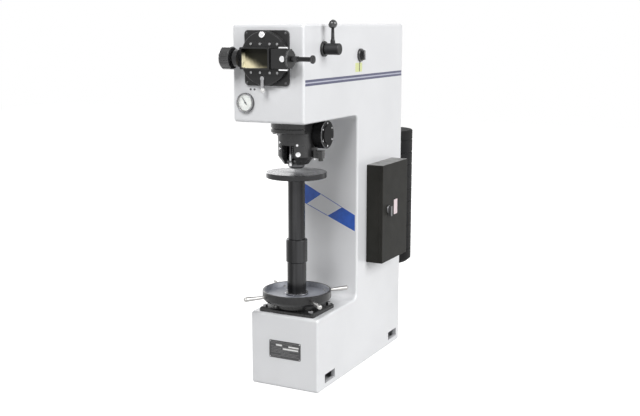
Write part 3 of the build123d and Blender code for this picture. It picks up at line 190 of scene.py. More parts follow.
def piece(name, shells, material, body="root", slot="plate"):
    """Makes one object from closed shells, in place, and lets it ride on a body of the frame."""
    points, corners, sizes, shift = [], [], [], 0
    for own, quads, fans in shells:
        points.append(own)
        corners += [quads.ravel() + shift, fans.ravel() + shift]
        sizes += [np.full(len(quads), 4), np.full(len(fans), 3)]
        shift += len(own)
    points, corners, sizes = np.vstack(points) * MM, np.concatenate(corners), np.concatenate(sizes)
    mesh = bpy.data.meshes.new(name)
    mesh.vertices.add(len(points))
    mesh.vertices.foreach_set("co", points.astype(np.float32).ravel())
    mesh.loops.add(len(corners))
    mesh.loops.foreach_set("vertex_index", corners.astype(np.int32))
    mesh.polygons.add(len(sizes))
    mesh.polygons.foreach_set("loop_start", (np.cumsum(sizes) - sizes).astype(np.int32))
    mesh.update(calc_edges=True)
    mesh.shade_smooth()
    mesh.set_sharp_from_angle(angle=CREASE)
    made = bpy.data.objects.new(name, mesh)
    bpy.context.scene.collection.objects.link(made)
    mesh.materials.append(material)
    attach(made, body)
    return made


# -------- finishes
class Finish:
    """A material while its nodes are put together; patterns read Object coordinates."""

    def __init__(self, name):
        self.material = bpy.data.materials.new(name)
        self.material.use_nodes = True
        self.tree = self.material.node_tree
        self.tree.nodes.clear()
        self.place = self.node("TexCoord").outputs["Object"]
        self.skin = self.node("BsdfPrincipled")
        self.out = self.node("OutputMaterial")
        self.tree.links.new(self.skin.outputs[0], self.out.inputs[0])

    def node(self, kind, *values, **named):
        """Adds a node.

        Values fill its inputs in order, and Named_ones by socket name; lower-case ones are settings.
        """
        made = self.tree.nodes.new("ShaderNode" + kind)
        for key, value in named.items():
            if key[0].islower():
                setattr(made, key, value)
        sockets = list(enumerate(values))
        sockets += [(key.replace("_", " "), value) for key, value in named.items() if key[0].isupper()]
        for key, value in sockets:
            if value is not None:
                self.join(value, made.inputs[key])
        return made

    def join(self, value, socket):
        """Links a socket, or sets a plain value; a colour of three parts gets its fourth."""
        if isinstance(value, bpy.types.NodeSocket):
            self.tree.links.new(value, socket)
            return
        short = socket.type == "RGBA" and len(value) == 3
        socket.default_value = tuple(value) + (1,) if short else value

    def calc(self, how, *values):
        """Result of one arithmetic step."""
        return self.node("Math", *values, operation=how).outputs[0]

    def plus(self, *values):
        return self.calc("ADD", *values)

    def less(self, *values):
        return self.calc("SUBTRACT", *values)

    def times(self, *values):
        return self.calc("MULTIPLY", *values)

    def noise(self, scale, detail=3, stretch=None, rough=0.5):
        """Noise of a given number of grains a metre; stretch multiplies them along each axis."""
        where = self.place
        if stretch:
            where = self.node("Mapping", where, Scale=stretch).outputs[0]
        return self.node("TexNoise", Vector=where, Scale=scale, Detail=detail, Roughness=rough).outputs[0]

    def ramp(self, value, low, high):
        """Smooth step of a value, from 0 at the first level to 1 at the second."""
        return self.node("MapRange", value, low, high, interpolation_type="SMOOTHSTEP").outputs[0]

    def tint(self, share, under, over):
        """Mix of two colours."""
        made = self.node("Mix", data_type="RGBA")
        for key, value in ((0, share), (6, under), (7, over)):
            self.join(value, made.inputs[key])
        return made.outputs[2]

    def axes(self):
        """The three Object coordinates in millimetres."""
        scaled = self.node("VectorMath", self.place, (1 / MM,) * 3, operation="MULTIPLY")
        return self.node("SeparateXYZ", scaled.outputs[0]).outputs

    def radius(self, first, second):
        """Distance from an axis, from two coordinates measured from it."""
        return self.calc("SQRT", self.plus(self.calc("POWER", first, 2), self.calc("POWER", second, 2)))

    def worn(self, width, grain=260):
        """Where an edge is rubbed: the bevelled normal leaves the true one, broken up by noise."""
        round_ = self.node("Bevel", width * MM, samples=4).outputs[0]
        flat = self.node("NewGeometry").outputs["Normal"]
        turn = self.node("VectorMath", round_, flat, operation="DOT_PRODUCT").outputs["Value"]
        edge = self.ramp(turn, 0.995, 0.85)
        return self.times(edge, self.ramp(self.noise(grain), 0.42, 0.62))

    def relief(self, height, strength, depth, width=0):
        """Bump from a height, over softened edges where a width in millimetres is given."""
        soft = self.node("Bevel", width * MM, samples=4).outputs[0] if width else None
        made = self.node("Bump", Strength=strength, Distance=depth * MM, Height=height, Normal=soft)
        self.join(made.outputs[0], self.skin.inputs["Normal"])

    def set(self, colour, rough, **named):
        """Fills sockets of the shader and returns the material."""
        self.join(colour, self.skin.inputs["Base Color"])
        self.join(rough, self.skin.inputs["Roughness"])
        for key, value in named.items():
            self.join(value, self.skin.inputs[key.replace("_", " ")])
        return self.material


def shade(colour, by):
    """The colour made lighter or darker."""
    return tuple(min(1, max(0, c * by)) for c in colour)


def along(axis, by):
    """Stretch of a noise: by along one axis, 1 along the others."""
    return tuple(by if name == axis else 1 for name in "xyz")


def machine_enamel(name, colour):
    """Sprayed satin enamel on a filled casting: faint orange peel, cloudy tone, dust in the finish."""
    f = Finish(name)
    cloud = f.noise(5, 3)
    peel = f.noise(420, 2)
    speck = f.ramp(f.noise(900, 1), 0.7, 0.8)
    tone = f.tint(f.ramp(cloud, 0.3, 0.7), shade(colour, 0.965), shade(colour, 1.015))
    tone = f.tint(f.times(speck, 0.12), tone, shade(colour, 0.75))
    rough = f.plus(f.times(f.noise(60, 2), 0.1), 0.3)
    height = f.plus(peel, f.times(f.noise(28, 2), 2.5))
    f.relief(height, 0.12, 0.25, 1.2)
    return f.set(tone, rough, Coat_Weight=0.25, Coat_Roughness=0.12)


def black_enamel(name, colour, rough=0.34, grain=520, depth=0.3, wear=0.5, edge=0.8, gloss=0.4, lid=None):
    """Black paint on castings and covers: fine grain, dust specks, rubbed a little grey at the edges, and on a
    lid a patchy painted sheen of the light from above.
    """
    f = Finish(name)
    tone = f.tint(f.ramp(f.noise(16, 3), 0.3, 0.75), shade(colour, 0.88), shade(colour, 1.12))
    tone = f.tint(f.times(f.worn(edge), wear), tone, (0.11, 0.11, 0.11))
    dust = f.ramp(f.noise(760, 2), 0.68, 0.8)
    tone = f.tint(f.times(dust, 0.12), tone, (0.09, 0.09, 0.088))
    # painted sheen: the top face of a lid is painted a patchy lighter grey for the overhead light on it
    if lid:
        painted_lid_sheen = f.times(f.ramp(f.axes()[2], lid - 1, lid - 0.3), f.ramp(f.noise(30, 4), 0, 0.6))
        tone = f.tint(painted_lid_sheen, tone, (0.3, 0.3, 0.295))
    roughness = f.plus(f.times(f.noise(40, 2), 0.08), rough - 0.04)
    f.relief(f.noise(grain, 2), 0.12, depth, edge)
    return f.set(tone, roughness, Specular_IOR_Level=gloss)


def black_oxide(name, axis, colour=(0.01, 0.01, 0.0105), rough=0.22):
    """Turned steel, blackened: tool marks across the axis under a dark film that thins at the edges, and
    lighter streaks along the axis that are painted highlights.
    """
    f = Finish(name)
    marks = f.noise(28, 4, along(axis, 60))
    # painted highlights: lighter streaks along the axis stand in for reflections of the lamps
    painted_highlight_streaks = f.ramp(f.noise(46, 3, along(axis, 0.03)), 0.42, 0.68)
    tone = f.tint(f.ramp(f.noise(22, 3), 0.3, 0.7), shade(colour, 0.85), shade(colour, 1.2))
    tone = f.tint(f.times(painted_highlight_streaks, 0.34), tone, (0.1, 0.1, 0.105))
    tone = f.tint(f.times(f.worn(0.7), 0.7), tone, (0.26, 0.26, 0.27))
    roughness = f.plus(f.times(marks, 0.08), rough - 0.04)
    f.relief(marks, 0.06, 0.1, 0.5)
    return f.set(tone, roughness, Metallic=0.55, Specular_IOR_Level=0.35)


def bright_metal(name, axis, colour=(0.72, 0.72, 0.73), rough=0.2, marks=0.1, soil=0.5):
    """Machined or ground steel: fine lines across one axis, a slightly soiled film, softened edges."""
    f = Finish(name)
    lines = f.noise(26, 4, along(axis, 70))
    film = f.ramp(f.noise(38, 4), 0.45, 0.75)
    tone = f.tint(f.times(film, soil), shade(colour, 1.05), shade(colour, 0.66))
    tone = f.tint(f.ramp(lines, 0.35, 0.65), shade(colour, 0.86), tone)
    roughness = f.plus(f.times(f.plus(lines, film), 0.09), rough - 0.05)
    f.relief(lines, marks, 0.1, 0.3)
    return f.set(tone, roughness, Metallic=1)


def moulding(name, colour, rough=0.4, grain=900, gloss=0):
    """Moulded plastic: fine sink and grain, slightly paler where it is handled."""
    f = Finish(name)
    hand = f.ramp(f.noise(45, 3), 0.4, 0.75)
    tone = f.tint(f.times(hand, 0.5), colour, shade(colour, 1.45))
    roughness = f.plus(f.times(hand, 0.12), rough)
    f.relief(f.plus(f.noise(grain, 1), f.noise(60, 1)), 0.1, 0.2, 0.4)
    return f.set(tone, roughness, Coat_Weight=gloss, Coat_Roughness=0.08)


def cast_weight(name, colour):
    """Turned iron weights under black paint: open grain, concentric tool marks, worn rims."""
    f = Finish(name)
    x, y, z = f.axes()
    radius = f.radius(x, f.less(y, WEIGHTS_Y))
    marks = f.calc("SINE", f.times(f.plus(radius, z), 4.2))
    pits = f.noise(300, 5, rough=0.7)
    tone = f.tint(f.ramp(f.noise(14, 3), 0.3, 0.7), shade(colour, 0.85), shade(colour, 1.2))
    tone = f.tint(f.times(f.worn(1.6, 150), 0.8), tone, (0.1, 0.1, 0.1))
    height = f.plus(f.times(marks, 0.25), pits)
    f.relief(height, 0.22, 0.3, 1.2)
    return f.set(tone, f.plus(f.times(pits, 0.15), 0.45), Specular_IOR_Level=0.03)


def wheel_enamel(name, dish, rim):
    """Grey-blue enamel inside the handwheel's dish; its rim and underside are black."""
    f = Finish(name)
    x, y, z = f.axes()
    radius = f.radius(x, y)
    dish_wall, dish_floor = (108.6, 107.4), (300, 302)
    inside = f.times(f.ramp(radius, *dish_wall), f.ramp(z, *dish_floor))
    hammer = f.noise(120, 3)
    rings = f.calc("SINE", f.times(radius, 2.1))
    tone = f.tint(f.ramp(hammer, 0.3, 0.7), shade(dish, 0.88), shade(dish, 1.12))
    black = f.tint(f.ramp(hammer, 0.35, 0.7), shade(rim, 0.85), shade(rim, 1.15))
    black = f.tint(f.times(f.worn(0.9), 0.7), black, (0.24, 0.24, 0.25))
    f.relief(f.plus(hammer, f.times(rings, 0.06)), 0.15, 0.3, 0.8)
    return f.set(f.tint(inside, black, tone), f.plus(f.times(hammer, 0.15), 0.24),
                 Specular_IOR_Level=0.3)


def ground_top(name):
    """Table: black oxide all over, with a bright faced top that shows concentric marks and light scratches."""
    f = Finish(name)
    x, y, z = f.axes()
    radius = f.radius(x, y)
    rings = f.node("TexNoise", noise_dimensions="1D", W=f.times(radius, 1.3), Scale=1, Detail=4).outputs[0]
    scratch = f.ramp(f.noise(40, 3, (1, 14, 1)), 0.62, 0.7)
    top, rim = (714.2, 714.7), (98.6, 97.8)
    faced = f.times(f.ramp(z, *top), f.ramp(radius, *rim))
    stain = f.ramp(f.noise(22, 4), 0.4, 0.75)
    bright = f.tint(f.ramp(rings, 0.3, 0.7), (0.33, 0.33, 0.34), (0.5, 0.5, 0.51))
    bright = f.tint(f.times(stain, 0.75), bright, (0.13, 0.13, 0.135))
    bright = f.tint(f.times(scratch, 0.4), bright, (0.8, 0.8, 0.81))
    dark = f.tint(f.times(f.worn(0.8), 0.9), (0.036, 0.036, 0.037), (0.34, 0.34, 0.34))
    f.relief(f.plus(rings, scratch), 0.1, 0.1, 0.5)
    roughness = f.plus(f.times(stain, 0.14), 0.2)
    return f.set(f.tint(faced, dark, bright), roughness, Metallic=0.9)


def lit_screen(name, glow, dusk):
    """Ground glass lit from behind: warm at its lower left corner, an olive dusk at the upper right."""
    f = Finish(name)
    x, _, z = f.axes()
    across = f.calc("DIVIDE", f.plus(x, -OPENING_X[0]), OPENING_X[1] - OPENING_X[0])
    rise = f.calc("DIVIDE", f.less(z, SCREEN_Z - OPENING_H / 2), OPENING_H)
    fall = f.plus(f.times(across, 0.85), f.times(rise, 0.95))
    fall = f.plus(fall, f.times(f.less(f.noise(34, 2), 0.5), 0.45))
    share = f.times(f.ramp(fall, 0.88, 0.25), f.ramp(rise, 0.78, 0.42))
    colour = f.tint(share, dusk, glow)
    grain = f.noise(2200, 1)
    f.relief(grain, 0.15, 0.05)
    light = f.plus(f.times(share, 0.75), 0.05)
    return f.set(f.tint(grain, shade(dusk, 0.8), shade(dusk, 1.3)), 0.42, Coat_Weight=0.06, Coat_Roughness=0.1,
                 Specular_IOR_Level=0.1, Emission_Color=colour, Emission_Strength=light)


def clear_glass(name):
    """Thin clear cover glass with a little dust."""
    f = Finish(name)
    dust = f.ramp(f.noise(700, 3), 0.62, 0.78)
    f.relief(f.noise(20, 1), 0.02, 0.1)
    return f.set((0.97, 0.98, 0.97), f.times(dust, 0.25), Transmission_Weight=1, IOR=1.46)


def printed(name, colour, over=0.8, grain=340):
    """Printed or painted marking: slightly uneven ink."""
    f = Finish(name)
    ink = f.ramp(f.noise(grain, 3), 0.35, 0.7)
    f.relief(f.noise(grain * 2, 1), 0.06, 0.05)
    return f.set(f.tint(ink, shade(colour, over), colour), f.plus(f.times(ink, 0.1), 0.34))


def nose_pins():
    """Satin steel of the objective's rod and of the notch's pin, whose upper half, up in the shade under the
    nose, is painted dark.
    """
    f = Finish("nose_pins")
    x, _, z = f.axes()
    left_pin, upper_half = (35, 33), (772, 780)
    # painted shade: the pin's upper half, up under the nose, is painted dark
    painted_shade = f.times(f.ramp(x, *left_pin), f.ramp(z, *upper_half))
    film = f.ramp(f.noise(60, 3), 0.4, 0.75)
    satin = f.tint(film, (0.84, 0.84, 0.85), (0.66, 0.66, 0.67))
    f.relief(f.noise(240, 2, (1, 1, 30)), 0.04, 0.1, 0.4)
    return f.set(f.tint(painted_shade, satin, (0.05, 0.05, 0.052)), f.plus(f.times(film, 0.1), 0.26), Metallic=0.45)


def head_bright():
    """Grey screws on the flange plate; polished rails and knobs in front of it and above it."""
    f = Finish("head_bright")
    _, y, z = f.axes()
    in_front, above = (-215.2, -216.4), (SCREEN_Z + 54, SCREEN_Z + 56)
    polished = f.calc("MAXIMUM", f.ramp(y, *in_front), f.ramp(z, *above))
    film = f.ramp(f.noise(60, 3), 0.4, 0.75)
    grey = f.tint(film, (0.34, 0.34, 0.345), (0.24, 0.24, 0.245))
    white = f.tint(film, (0.9, 0.9, 0.91), (0.8, 0.8, 0.81))
    f.relief(f.noise(240, 2), 0.03, 0.1, 0.5)
    return f.set(f.tint(polished, grey, white), f.plus(f.times(film, 0.08), 0.1), Metallic=1)


def lever_finish():
    """Steel blade above, white knob below the height where the ball begins."""
    f = Finish("shift_lever_finish")
    ball = f.ramp(f.axes()[2], BALL_TOP + 0.5, BALL_TOP - 0.5)
    hand = f.ramp(f.noise(90, 3), 0.4, 0.7)
    steel = f.tint(hand, (0.42, 0.42, 0.43), (0.3, 0.3, 0.31))
    white = f.tint(hand, (0.86, 0.86, 0.85), (0.76, 0.76, 0.74))
    f.relief(f.noise(500, 2), 0.06, 0.1, 0.4)
    return f.set(f.tint(ball, steel, white), f.plus(f.times(hand, 0.12), 0.22), Metallic=f.less(1, ball))


def spill_light():
    """Painted light of the screen on the hood's inside: cream and faintly glowing where the light reaches, dusk
    towards the right and the top.
    """
    f = Finish("screen_lining")
    x, _, z = f.axes()
    leftwards, downwards = (22, -40), (SCREEN_Z + 20, SCREEN_Z - 2)
    # painted light: cream and a faint glow stand in for the screen's light on the hood's floor and wall
    share = f.times(f.ramp(x, *leftwards), f.ramp(z, *downwards))
    share = f.times(share, f.ramp(f.noise(60, 2), 0.1, 0.6))
    f.relief(f.noise(500, 2), 0.05, 0.1)
    return f.set(f.tint(share, (0.028, 0.027, 0.021), (0.85, 0.83, 0.66)), 0.5, Specular_IOR_Level=0.1,
                 Emission_Color=chosen("glow"), Emission_Strength=f.times(share, 0.35))


# -------- what a user may change
RGB = {"size": 3, "min": 0, "max": 1}


class TesterColours(bpy.types.PropertyGroup):
    """Paint and print colours."""
    paint: FloatVectorProperty(
        name="Enamel", description="Machine enamel of the casting and its covers",
        default=(0.745, 0.752, 0.768), subtype="COLOR", **RGB)
    black: FloatVectorProperty(
        name="Black enamel", description="Paint of the screen, nose and pedestal",
        default=(0.016, 0.016, 0.0165), subtype="COLOR", **RGB)
    cabinet: FloatVectorProperty(
        name="Cabinet", description="Powder coat of the electrical cabinet",
        default=(0.024, 0.0237, 0.0215), subtype="COLOR", **RGB)
    stripe: FloatVectorProperty(
        name="Side stripes", description="Slate blue of the two thin lines",
        default=(0.085, 0.09, 0.165), subtype="COLOR", **RGB)
    band: FloatVectorProperty(
        name="Column band", description="Blue of the slanting band",
        default=(0.032, 0.118, 0.52), subtype="COLOR", **RGB)
    dish: FloatVectorProperty(
        name="Handwheel dish", description="Enamel inside the handwheel",
        default=(0.22, 0.23, 0.26), subtype="COLOR", **RGB)
    glow: FloatVectorProperty(
        name="Screen light", description="Light on the ground glass",
        default=(1, 0.9, 0.6), subtype="COLOR", **RGB)


class TesterSizes(bpy.types.PropertyGroup):
    """Sizes of the trim."""
    stripe_width: FloatProperty(
        name="Stripe width", description="Height of each side stripe",
        default=0.0074, min=0.002, max=0.02, unit="LENGTH")
    stripe_gap: FloatProperty(
        name="Stripe gap", description="Clear height between the side stripes",
        default=0.004, min=0.001, max=0.02, unit="LENGTH")
    film: FloatProperty(
        name="Film thickness", description="How far paint lines and labels stand out",
        default=0.0003, min=0.0001, max=0.001, unit="LENGTH")
    dial_marks: IntProperty(
        name="Gauge marks", description="Divisions round the load gauge",
        default=40, min=10, max=100)


class TesterStage(bpy.types.PropertyGroup):
    """Lamps and surroundings."""
    ambient: FloatProperty(
        name="Ambient", description="Strength of the surrounding light",
        default=0.13, min=0, max=2)
    right: FloatProperty(
        name="Right lamp", description="Soft lamp on the right",
        default=325, min=0, max=2000, unit="POWER")
    back: FloatProperty(
        name="Back lamp", description="Soft lamp behind the left side",
        default=230, min=0, max=2000, unit="POWER")
    front: FloatProperty(
        name="Front lamp", description="Soft lamp above the front",
        default=290, min=0, max=2000, unit="POWER")
    lens: FloatProperty(
        name="Lens", description="Focal length of the camera",
        default=57.2147, min=20, max=200)


def user(group):
    """The scene's settings of one group."""
    return getattr(bpy.context.scene, "tester_" + group)


def chosen(name):
    """One of the colours that the user may change."""
    return tuple(getattr(user("colours"), name))


def coat(material, *names):
    """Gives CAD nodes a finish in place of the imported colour."""
    for name in names:
        mesh = NODES[name].data
        mesh.materials.clear()
        mesh.materials.append(material)


@cache
def chrome():
    """Bright finish that several steps share."""
    return bright_metal("bright_chrome", "z", (0.82, 0.82, 0.83), 0.12, 0.04, 0.25)


@cache
def screw_steel():
    """Plain steel that several steps share."""
    return bright_metal("screw_steel", "y", (0.55, 0.55, 0.56), 0.26, 0.08, 0.5)


def on_front(shell, x, z, y=HEAD_Y):
    """Places a shell on a face that looks to the front."""
    return facing(shell, (x, y, z), (0, -1, 0))


def on_side(shell, y, z, x=SIDE_X):
    """Places a shell on a face that looks to the right."""
    return facing(shell, (x, y, z), (1, 0, 0))


# -------- stage
CAMERA_AT = (1.5783, -2.8944, 1.1938)
CAMERA_TURN = Euler((math.radians(79.681), 0, math.radians(27.26)))
LAMPS = {"right": ((5.7, 0.1, 3.5), 4), "back": ((-5, 4.2, 3), 4), "front": ((0.3, -4.7, 4.7), 3)}
LAMP_AIM = (0, 0.15, 0.6)
FLOOR_HALF = 9  # half the floor's width
FLOOR_LINES = 13  # lines of points each way
FLOOR_DROP = 0.0004  # how far the floor lies below the feet


def stand(context, data, place=(0, 0, 0), turn=(0, 0, 0)):
    """Puts an object of the data's own name into the scene."""
    holder = bpy.data.objects.new(data.name, data)
    holder.location, holder.rotation_euler = place, turn
    context.scene.collection.objects.link(holder)
    return holder


def seen(tree):
    """One where the camera, a reflection or a glass looks at the surface."""
    path = tree.nodes.new("ShaderNodeLightPath")
    share = path.outputs["Is Camera Ray"]
    for kind in ("Is Glossy Ray", "Is Transmission Ray"):
        larger = tree.nodes.new("ShaderNodeMath")
        larger.operation = "MAXIMUM"
        tree.links.new(share, larger.inputs[0])
        tree.links.new(path.outputs[kind], larger.inputs[1])
        share = larger.outputs[0]
    return share


def floor_paint():
    """Pale floor that shows nearly white and still takes the object's shadow."""
    f = Finish("pale_floor")
    cloud = f.tint(f.noise(0.7, 2), (0.46, 0.46, 0.46), (0.5, 0.5, 0.5))
    return f.set(cloud, 0.9, Specular_IOR_Level=0, Emission_Color=(1, 1, 1),
                 Emission_Strength=f.times(seen(f.tree), 0.93))


def surroundings(context, ambient):
    """World: white where it is seen, a plain level of light elsewhere."""
    world = bpy.data.worlds.new("studio")
    context.scene.world = world
    world.use_nodes = True
    tree = world.node_tree
    back = tree.nodes["Background"]
    level = tree.nodes.new("ShaderNodeMapRange")
    level.inputs[3].default_value, level.inputs[4].default_value = ambient, 1
    tree.links.new(seen(tree), level.inputs[0])
    tree.links.new(level.outputs[0], back.inputs[1])
    back.inputs[0].default_value = (1, 1, 1, 1)


def lamp(context, name, place, size, power):
    """Square soft lamp that looks at the middle of the machine."""
    light = bpy.data.lights.new(name + "_lamp", "AREA")
    light.shape, light.size, light.energy = "SQUARE", size, power
    x, y, z = np.array(LAMP_AIM) - np.array(place)
    stand(context, light, place, Euler((math.atan2(math.hypot(x, y), -z), 0, math.atan2(-x, y))))


class TESTER_OT_stage(bpy.types.Operator):
    """Camera, pale floor and soft studio light"""
    bl_idname = "tester.stage"
    bl_label = "Stage"

    def execute(self, context):
        lights = user("stage")
        camera = bpy.data.cameras.new("camera")
        camera.sensor_width, camera.lens = 36, lights.lens
        camera.clip_start, camera.clip_end = 0.05, 60
        context.scene.camera = stand(context, camera, CAMERA_AT, CAMERA_TURN)
        context.scene.view_settings.view_transform = "Standard"

        floor = bpy.data.meshes.new("floor")
        grid = np.linspace(-FLOOR_HALF, FLOOR_HALF, FLOOR_LINES)
        x, y = np.meshgrid(grid, grid, indexing="ij")
        index = np.arange(FLOOR_LINES ** 2).reshape(FLOOR_LINES, FLOOR_LINES)
        quads = np.stack([index[:-1, :-1], index[1:, :-1], index[1:, 1:], index[:-1, 1:]], -1).reshape(-1, 4)
        floor.from_pydata(np.stack([x, y, 0 * x - FLOOR_DROP], -1).reshape(-1, 3).tolist(), [], quads.tolist())
        floor.materials.append(floor_paint())
        ground = stand(context, floor)
        surroundings(context, lights.ambient)
        for name, (place, size) in LAMPS.items():
            lamp(context, name, place, size, getattr(lights, name))
        return {"FINISHED"}


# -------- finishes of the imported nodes
class TESTER_OT_enamel(bpy.types.Operator):
    """Light machine enamel on the casting and its sheet covers"""
    bl_idname = "tester.enamel"
    bl_label = "Casting enamel"

    def execute(self, context):
        coat(machine_enamel("machine_enamel", chosen("paint")),
             "frame_casting", "head_cover", "rear_cover")
        return {"FINISHED"}


class TESTER_OT_black_paint(bpy.types.Operator):
    """Black enamel on the measuring head, nose, lamp, pedestal, crank boss and cabinet"""
    bl_idname = "tester.black_paint"
    bl_label = "Black enamel"

    def execute(self, context):
        black = chosen("black")
        coat(black_enamel("head_black", black, 0.3, 620, 0.25, 0.5, 0.8, 0.35),
             "screen_plate", "measuring_ring", "screen_hood")
        # painted sheen: the nose's black is made 1.7 times lighter than the head's, for the glints on it
        coat(black_enamel("nose_black", shade(black, 1.7), 0.28, 420, 0.4, 0.6, 1.2, 0.45),
             "nose_flange", "nose_body", "objective_arm")
        coat(black_enamel("lamp_black", shade(black, 0.9), 0.4, 420, 0.3, 0.5, 0.8, 0.05),
             "lamp_drum", "lamp_cover")
        coat(black_enamel("pedestal_black", shade(black, 0.9), 0.28, 300, 0.5, 0.8, 1.4, 0.4), "pedestal")
        # the cabinet's lid carries the painted sheen of the light from above
        coat(black_enamel("cabinet_coat", chosen("cabinet"), 0.45, 900, 0.3, 0.35, 1, 0.05, CABINET_TOP),
             "cabinet_box", "cabinet_door")
        coat(black_enamel("tube_black", shade(black, 0.6), 0.7, 500, 0.3, 0.1, 0.5), "projection_tube")
        coat(black_enamel("boss_black", black, 0.3, 500, 0.2, 0.5, 0.6), "crank_boss")
        return {"FINISHED"}


class TESTER_OT_steel(bpy.types.Operator):
    """Blackened, ground and bright steel of the spindle, table and loading gear"""
    bl_idname = "tester.steel"
    bl_label = "Machined metal"

    def execute(self, context):
        coat(black_oxide("oxide_upright", "z"), "lower_tube", "tube_collar", "upper_tube")
        coat(black_oxide("oxide_across", "x", (0.015, 0.015, 0.0155), 0.3), "crank_lever", "micrometer_thimble")
        coat(ground_top("table_top"), "table")
        coat(wheel_enamel("handwheel_enamel", chosen("dish"), shade(chosen("black"), 1.2)), "handwheel")
        coat(bright_metal("rod_bright", "z", (0.4, 0.395, 0.385), 0.3, 0.05, 0.6), "wheel_rods")
        coat(chrome(), "thrust_bearing")
        coat(nose_pins(), "nose_rods")
        coat(bright_metal("turned_steel", "z", (0.46, 0.46, 0.47), 0.3, 0.12, 0.6),
             "lead_screw", "indenter_plunger", "dashpot_piston", "sleeve_spring")
        coat(bright_metal("shaft_steel", "x", (0.46, 0.46, 0.47), 0.28, 0.12, 0.6),
             "crank_shaft", "lifter_shaft", "beam_pins", "connecting_rod", "cabinet_pins")
        coat(bright_metal("latch_steel", "x", (0.2, 0.2, 0.205), 0.3, 0.1, 0.6), "door_latch")
        coat(black_oxide("sleeve_oxide", "z", (0.1, 0.1, 0.105), 0.28), "clamp_sleeve")
        coat(bright_metal("nut_bronze", "z", (0.55, 0.36, 0.16), 0.3, 0.12, 0.6), "elevating_nut")
        coat(bright_metal("silvered", "y", (0.9, 0.9, 0.91), 0.03, 0.01, 0.1), "projection_mirror")
        coat(head_bright(), "hood_screws")
        coat(bright_metal("bolt_steel", "z", (0.2, 0.2, 0.205), 0.28, 0.1, 0.6),
             "pedestal_bolts", "nose_bolts")
        return {"FINISHED"}


class TESTER_OT_iron(bpy.types.Operator):
    """Painted iron of the weights, beam and brackets"""
    bl_idname = "tester.iron"
    bl_label = "Weights and beam"

    def execute(self, context):
        coat(cast_weight("weight_iron", (0.024, 0.024, 0.0245)), "weight_discs", "weight_hanger")
        coat(black_enamel("beam_grey", (0.16, 0.17, 0.17), 0.45, 300, 0.5, 0.5, 1.5),
             "load_beam", "fulcrum_block", "lifter_bracket", "dashpot_cylinder")
        coat(black_enamel("coil_varnish", (0.07, 0.05, 0.04), 0.4, 800, 0.3, 0.3, 0.8), "cabinet_fittings")
        return {"FINISHED"}


class TESTER_OT_plastics(bpy.types.Operator):
    """Knobs, dial, plates and glass"""
    bl_idname = "tester.plastics"
    bl_label = "Plastics and glass"

    def execute(self, context):
        coat(moulding("knob_black", (0.022, 0.022, 0.023), 0.22, 700, 0.4), "focus_knob", "switch_knob")
        coat(moulding("ball_black", (0.018, 0.018, 0.019), 0.14, 400, 0.6), "crank_knob")
        coat(bright_metal("bezel_grey", "z", (0.16, 0.16, 0.165), 0.3, 0.1, 0.5), "gauge_case")
        coat(printed("dial_print", (0.98, 0.98, 0.97), 0.97), "gauge_dial")
        coat(clear_glass("cover_glass"), "gauge_glass")
        coat(printed("pointer_ink", (0.1, 0.1, 0.12), 0.7), "gauge_pointer")
        coat(black_enamel("plate_dark", (0.06, 0.06, 0.062), 0.35, 800, 0.1, 0.6, 0.4), "type_plate")
        coat(lit_screen("screen_light", chosen("glow"), (0.016, 0.0155, 0.0105)), "screen_glass")
        coat(lever_finish(), "shift_lever")
        return {"FINISHED"}


# -------- paint lines
class TESTER_OT_side_stripes(bpy.types.Operator):
    """Two thin slate-blue lines along the right side"""
    bl_idname = "tester.side_stripes"
    bl_label = "Side stripes"

    def execute(self, context):
        sizes = user("sizes")
        wide, gap, film = (v / MM for v in (sizes.stripe_width, sizes.stripe_gap, sizes.film))
        start, end, height = -171, 575, 1013.8
        middle, length = (start + end) / 2, end - start
        shells = [on_side(slab(rounded(length, wide, 1.5), film), middle, height + side * (wide + gap) / 2)
                  for side in (-1, 1)]
        pale = [on_side(slab(rounded(length - 4, gap, 0.8), film * 0.6), middle, height)]
        piece("side_stripes", shells, printed("stripe_ink", chosen("stripe"), 0.85))
        ink = printed("stripe_gap_ink", (0.5, 0.51, 0.61), 0.92)
        piece("side_stripe_gap", pale, ink, "root", "white_paint")
        return {"FINISHED"}


def paint(corners, thick):
    """Film of paint on the column's front."""
    return on_front(slab(dense(corners), thick), 0, 0, COLUMN_Y)


def line(a, b):
    """Height of the straight line through two points, as a function of x; keeps its own numbers."""
    slope = (b[1] - a[1]) / (b[0] - a[0])
    rise = a[1] - slope * a[0]

    def height(x):
        return rise + slope * x

    height.slope, height.rise = slope, rise
    return height


def meet(first, second):
    """Where two lines cross."""
    x = (second.rise - first.rise) / (first.slope - second.slope)
    return x, first(x)


def grown(corners, by):
    """The outline with every side moved outwards by a distance."""
    points = np.asarray(corners, float)
    edges = np.roll(points, -1, 0) - points
    edges /= np.linalg.norm(edges, axis=1, keepdims=True)
    area = np.sum(points[:, 0] * np.roll(points[:, 1], -1) - np.roll(points[:, 0], -1) * points[:, 1])
    out = np.stack([edges[:, 1], -edges[:, 0]], -1) * np.sign(area) * by
    before = np.roll(out, 1, 0)
    return points + (before + out) / (1 + np.sum(before * out, 1, keepdims=True) / by ** 2)


def dense(corners, steps=8):
    """The outline with steps points along each side."""
    points = np.asarray(corners, float)
    t = np.linspace(0, 1, steps, endpoint=False)[None, :, None]
    return (points[:, None] * (1 - t) + np.roll(points, -1, 0)[:, None] * t).reshape(-1, 2)


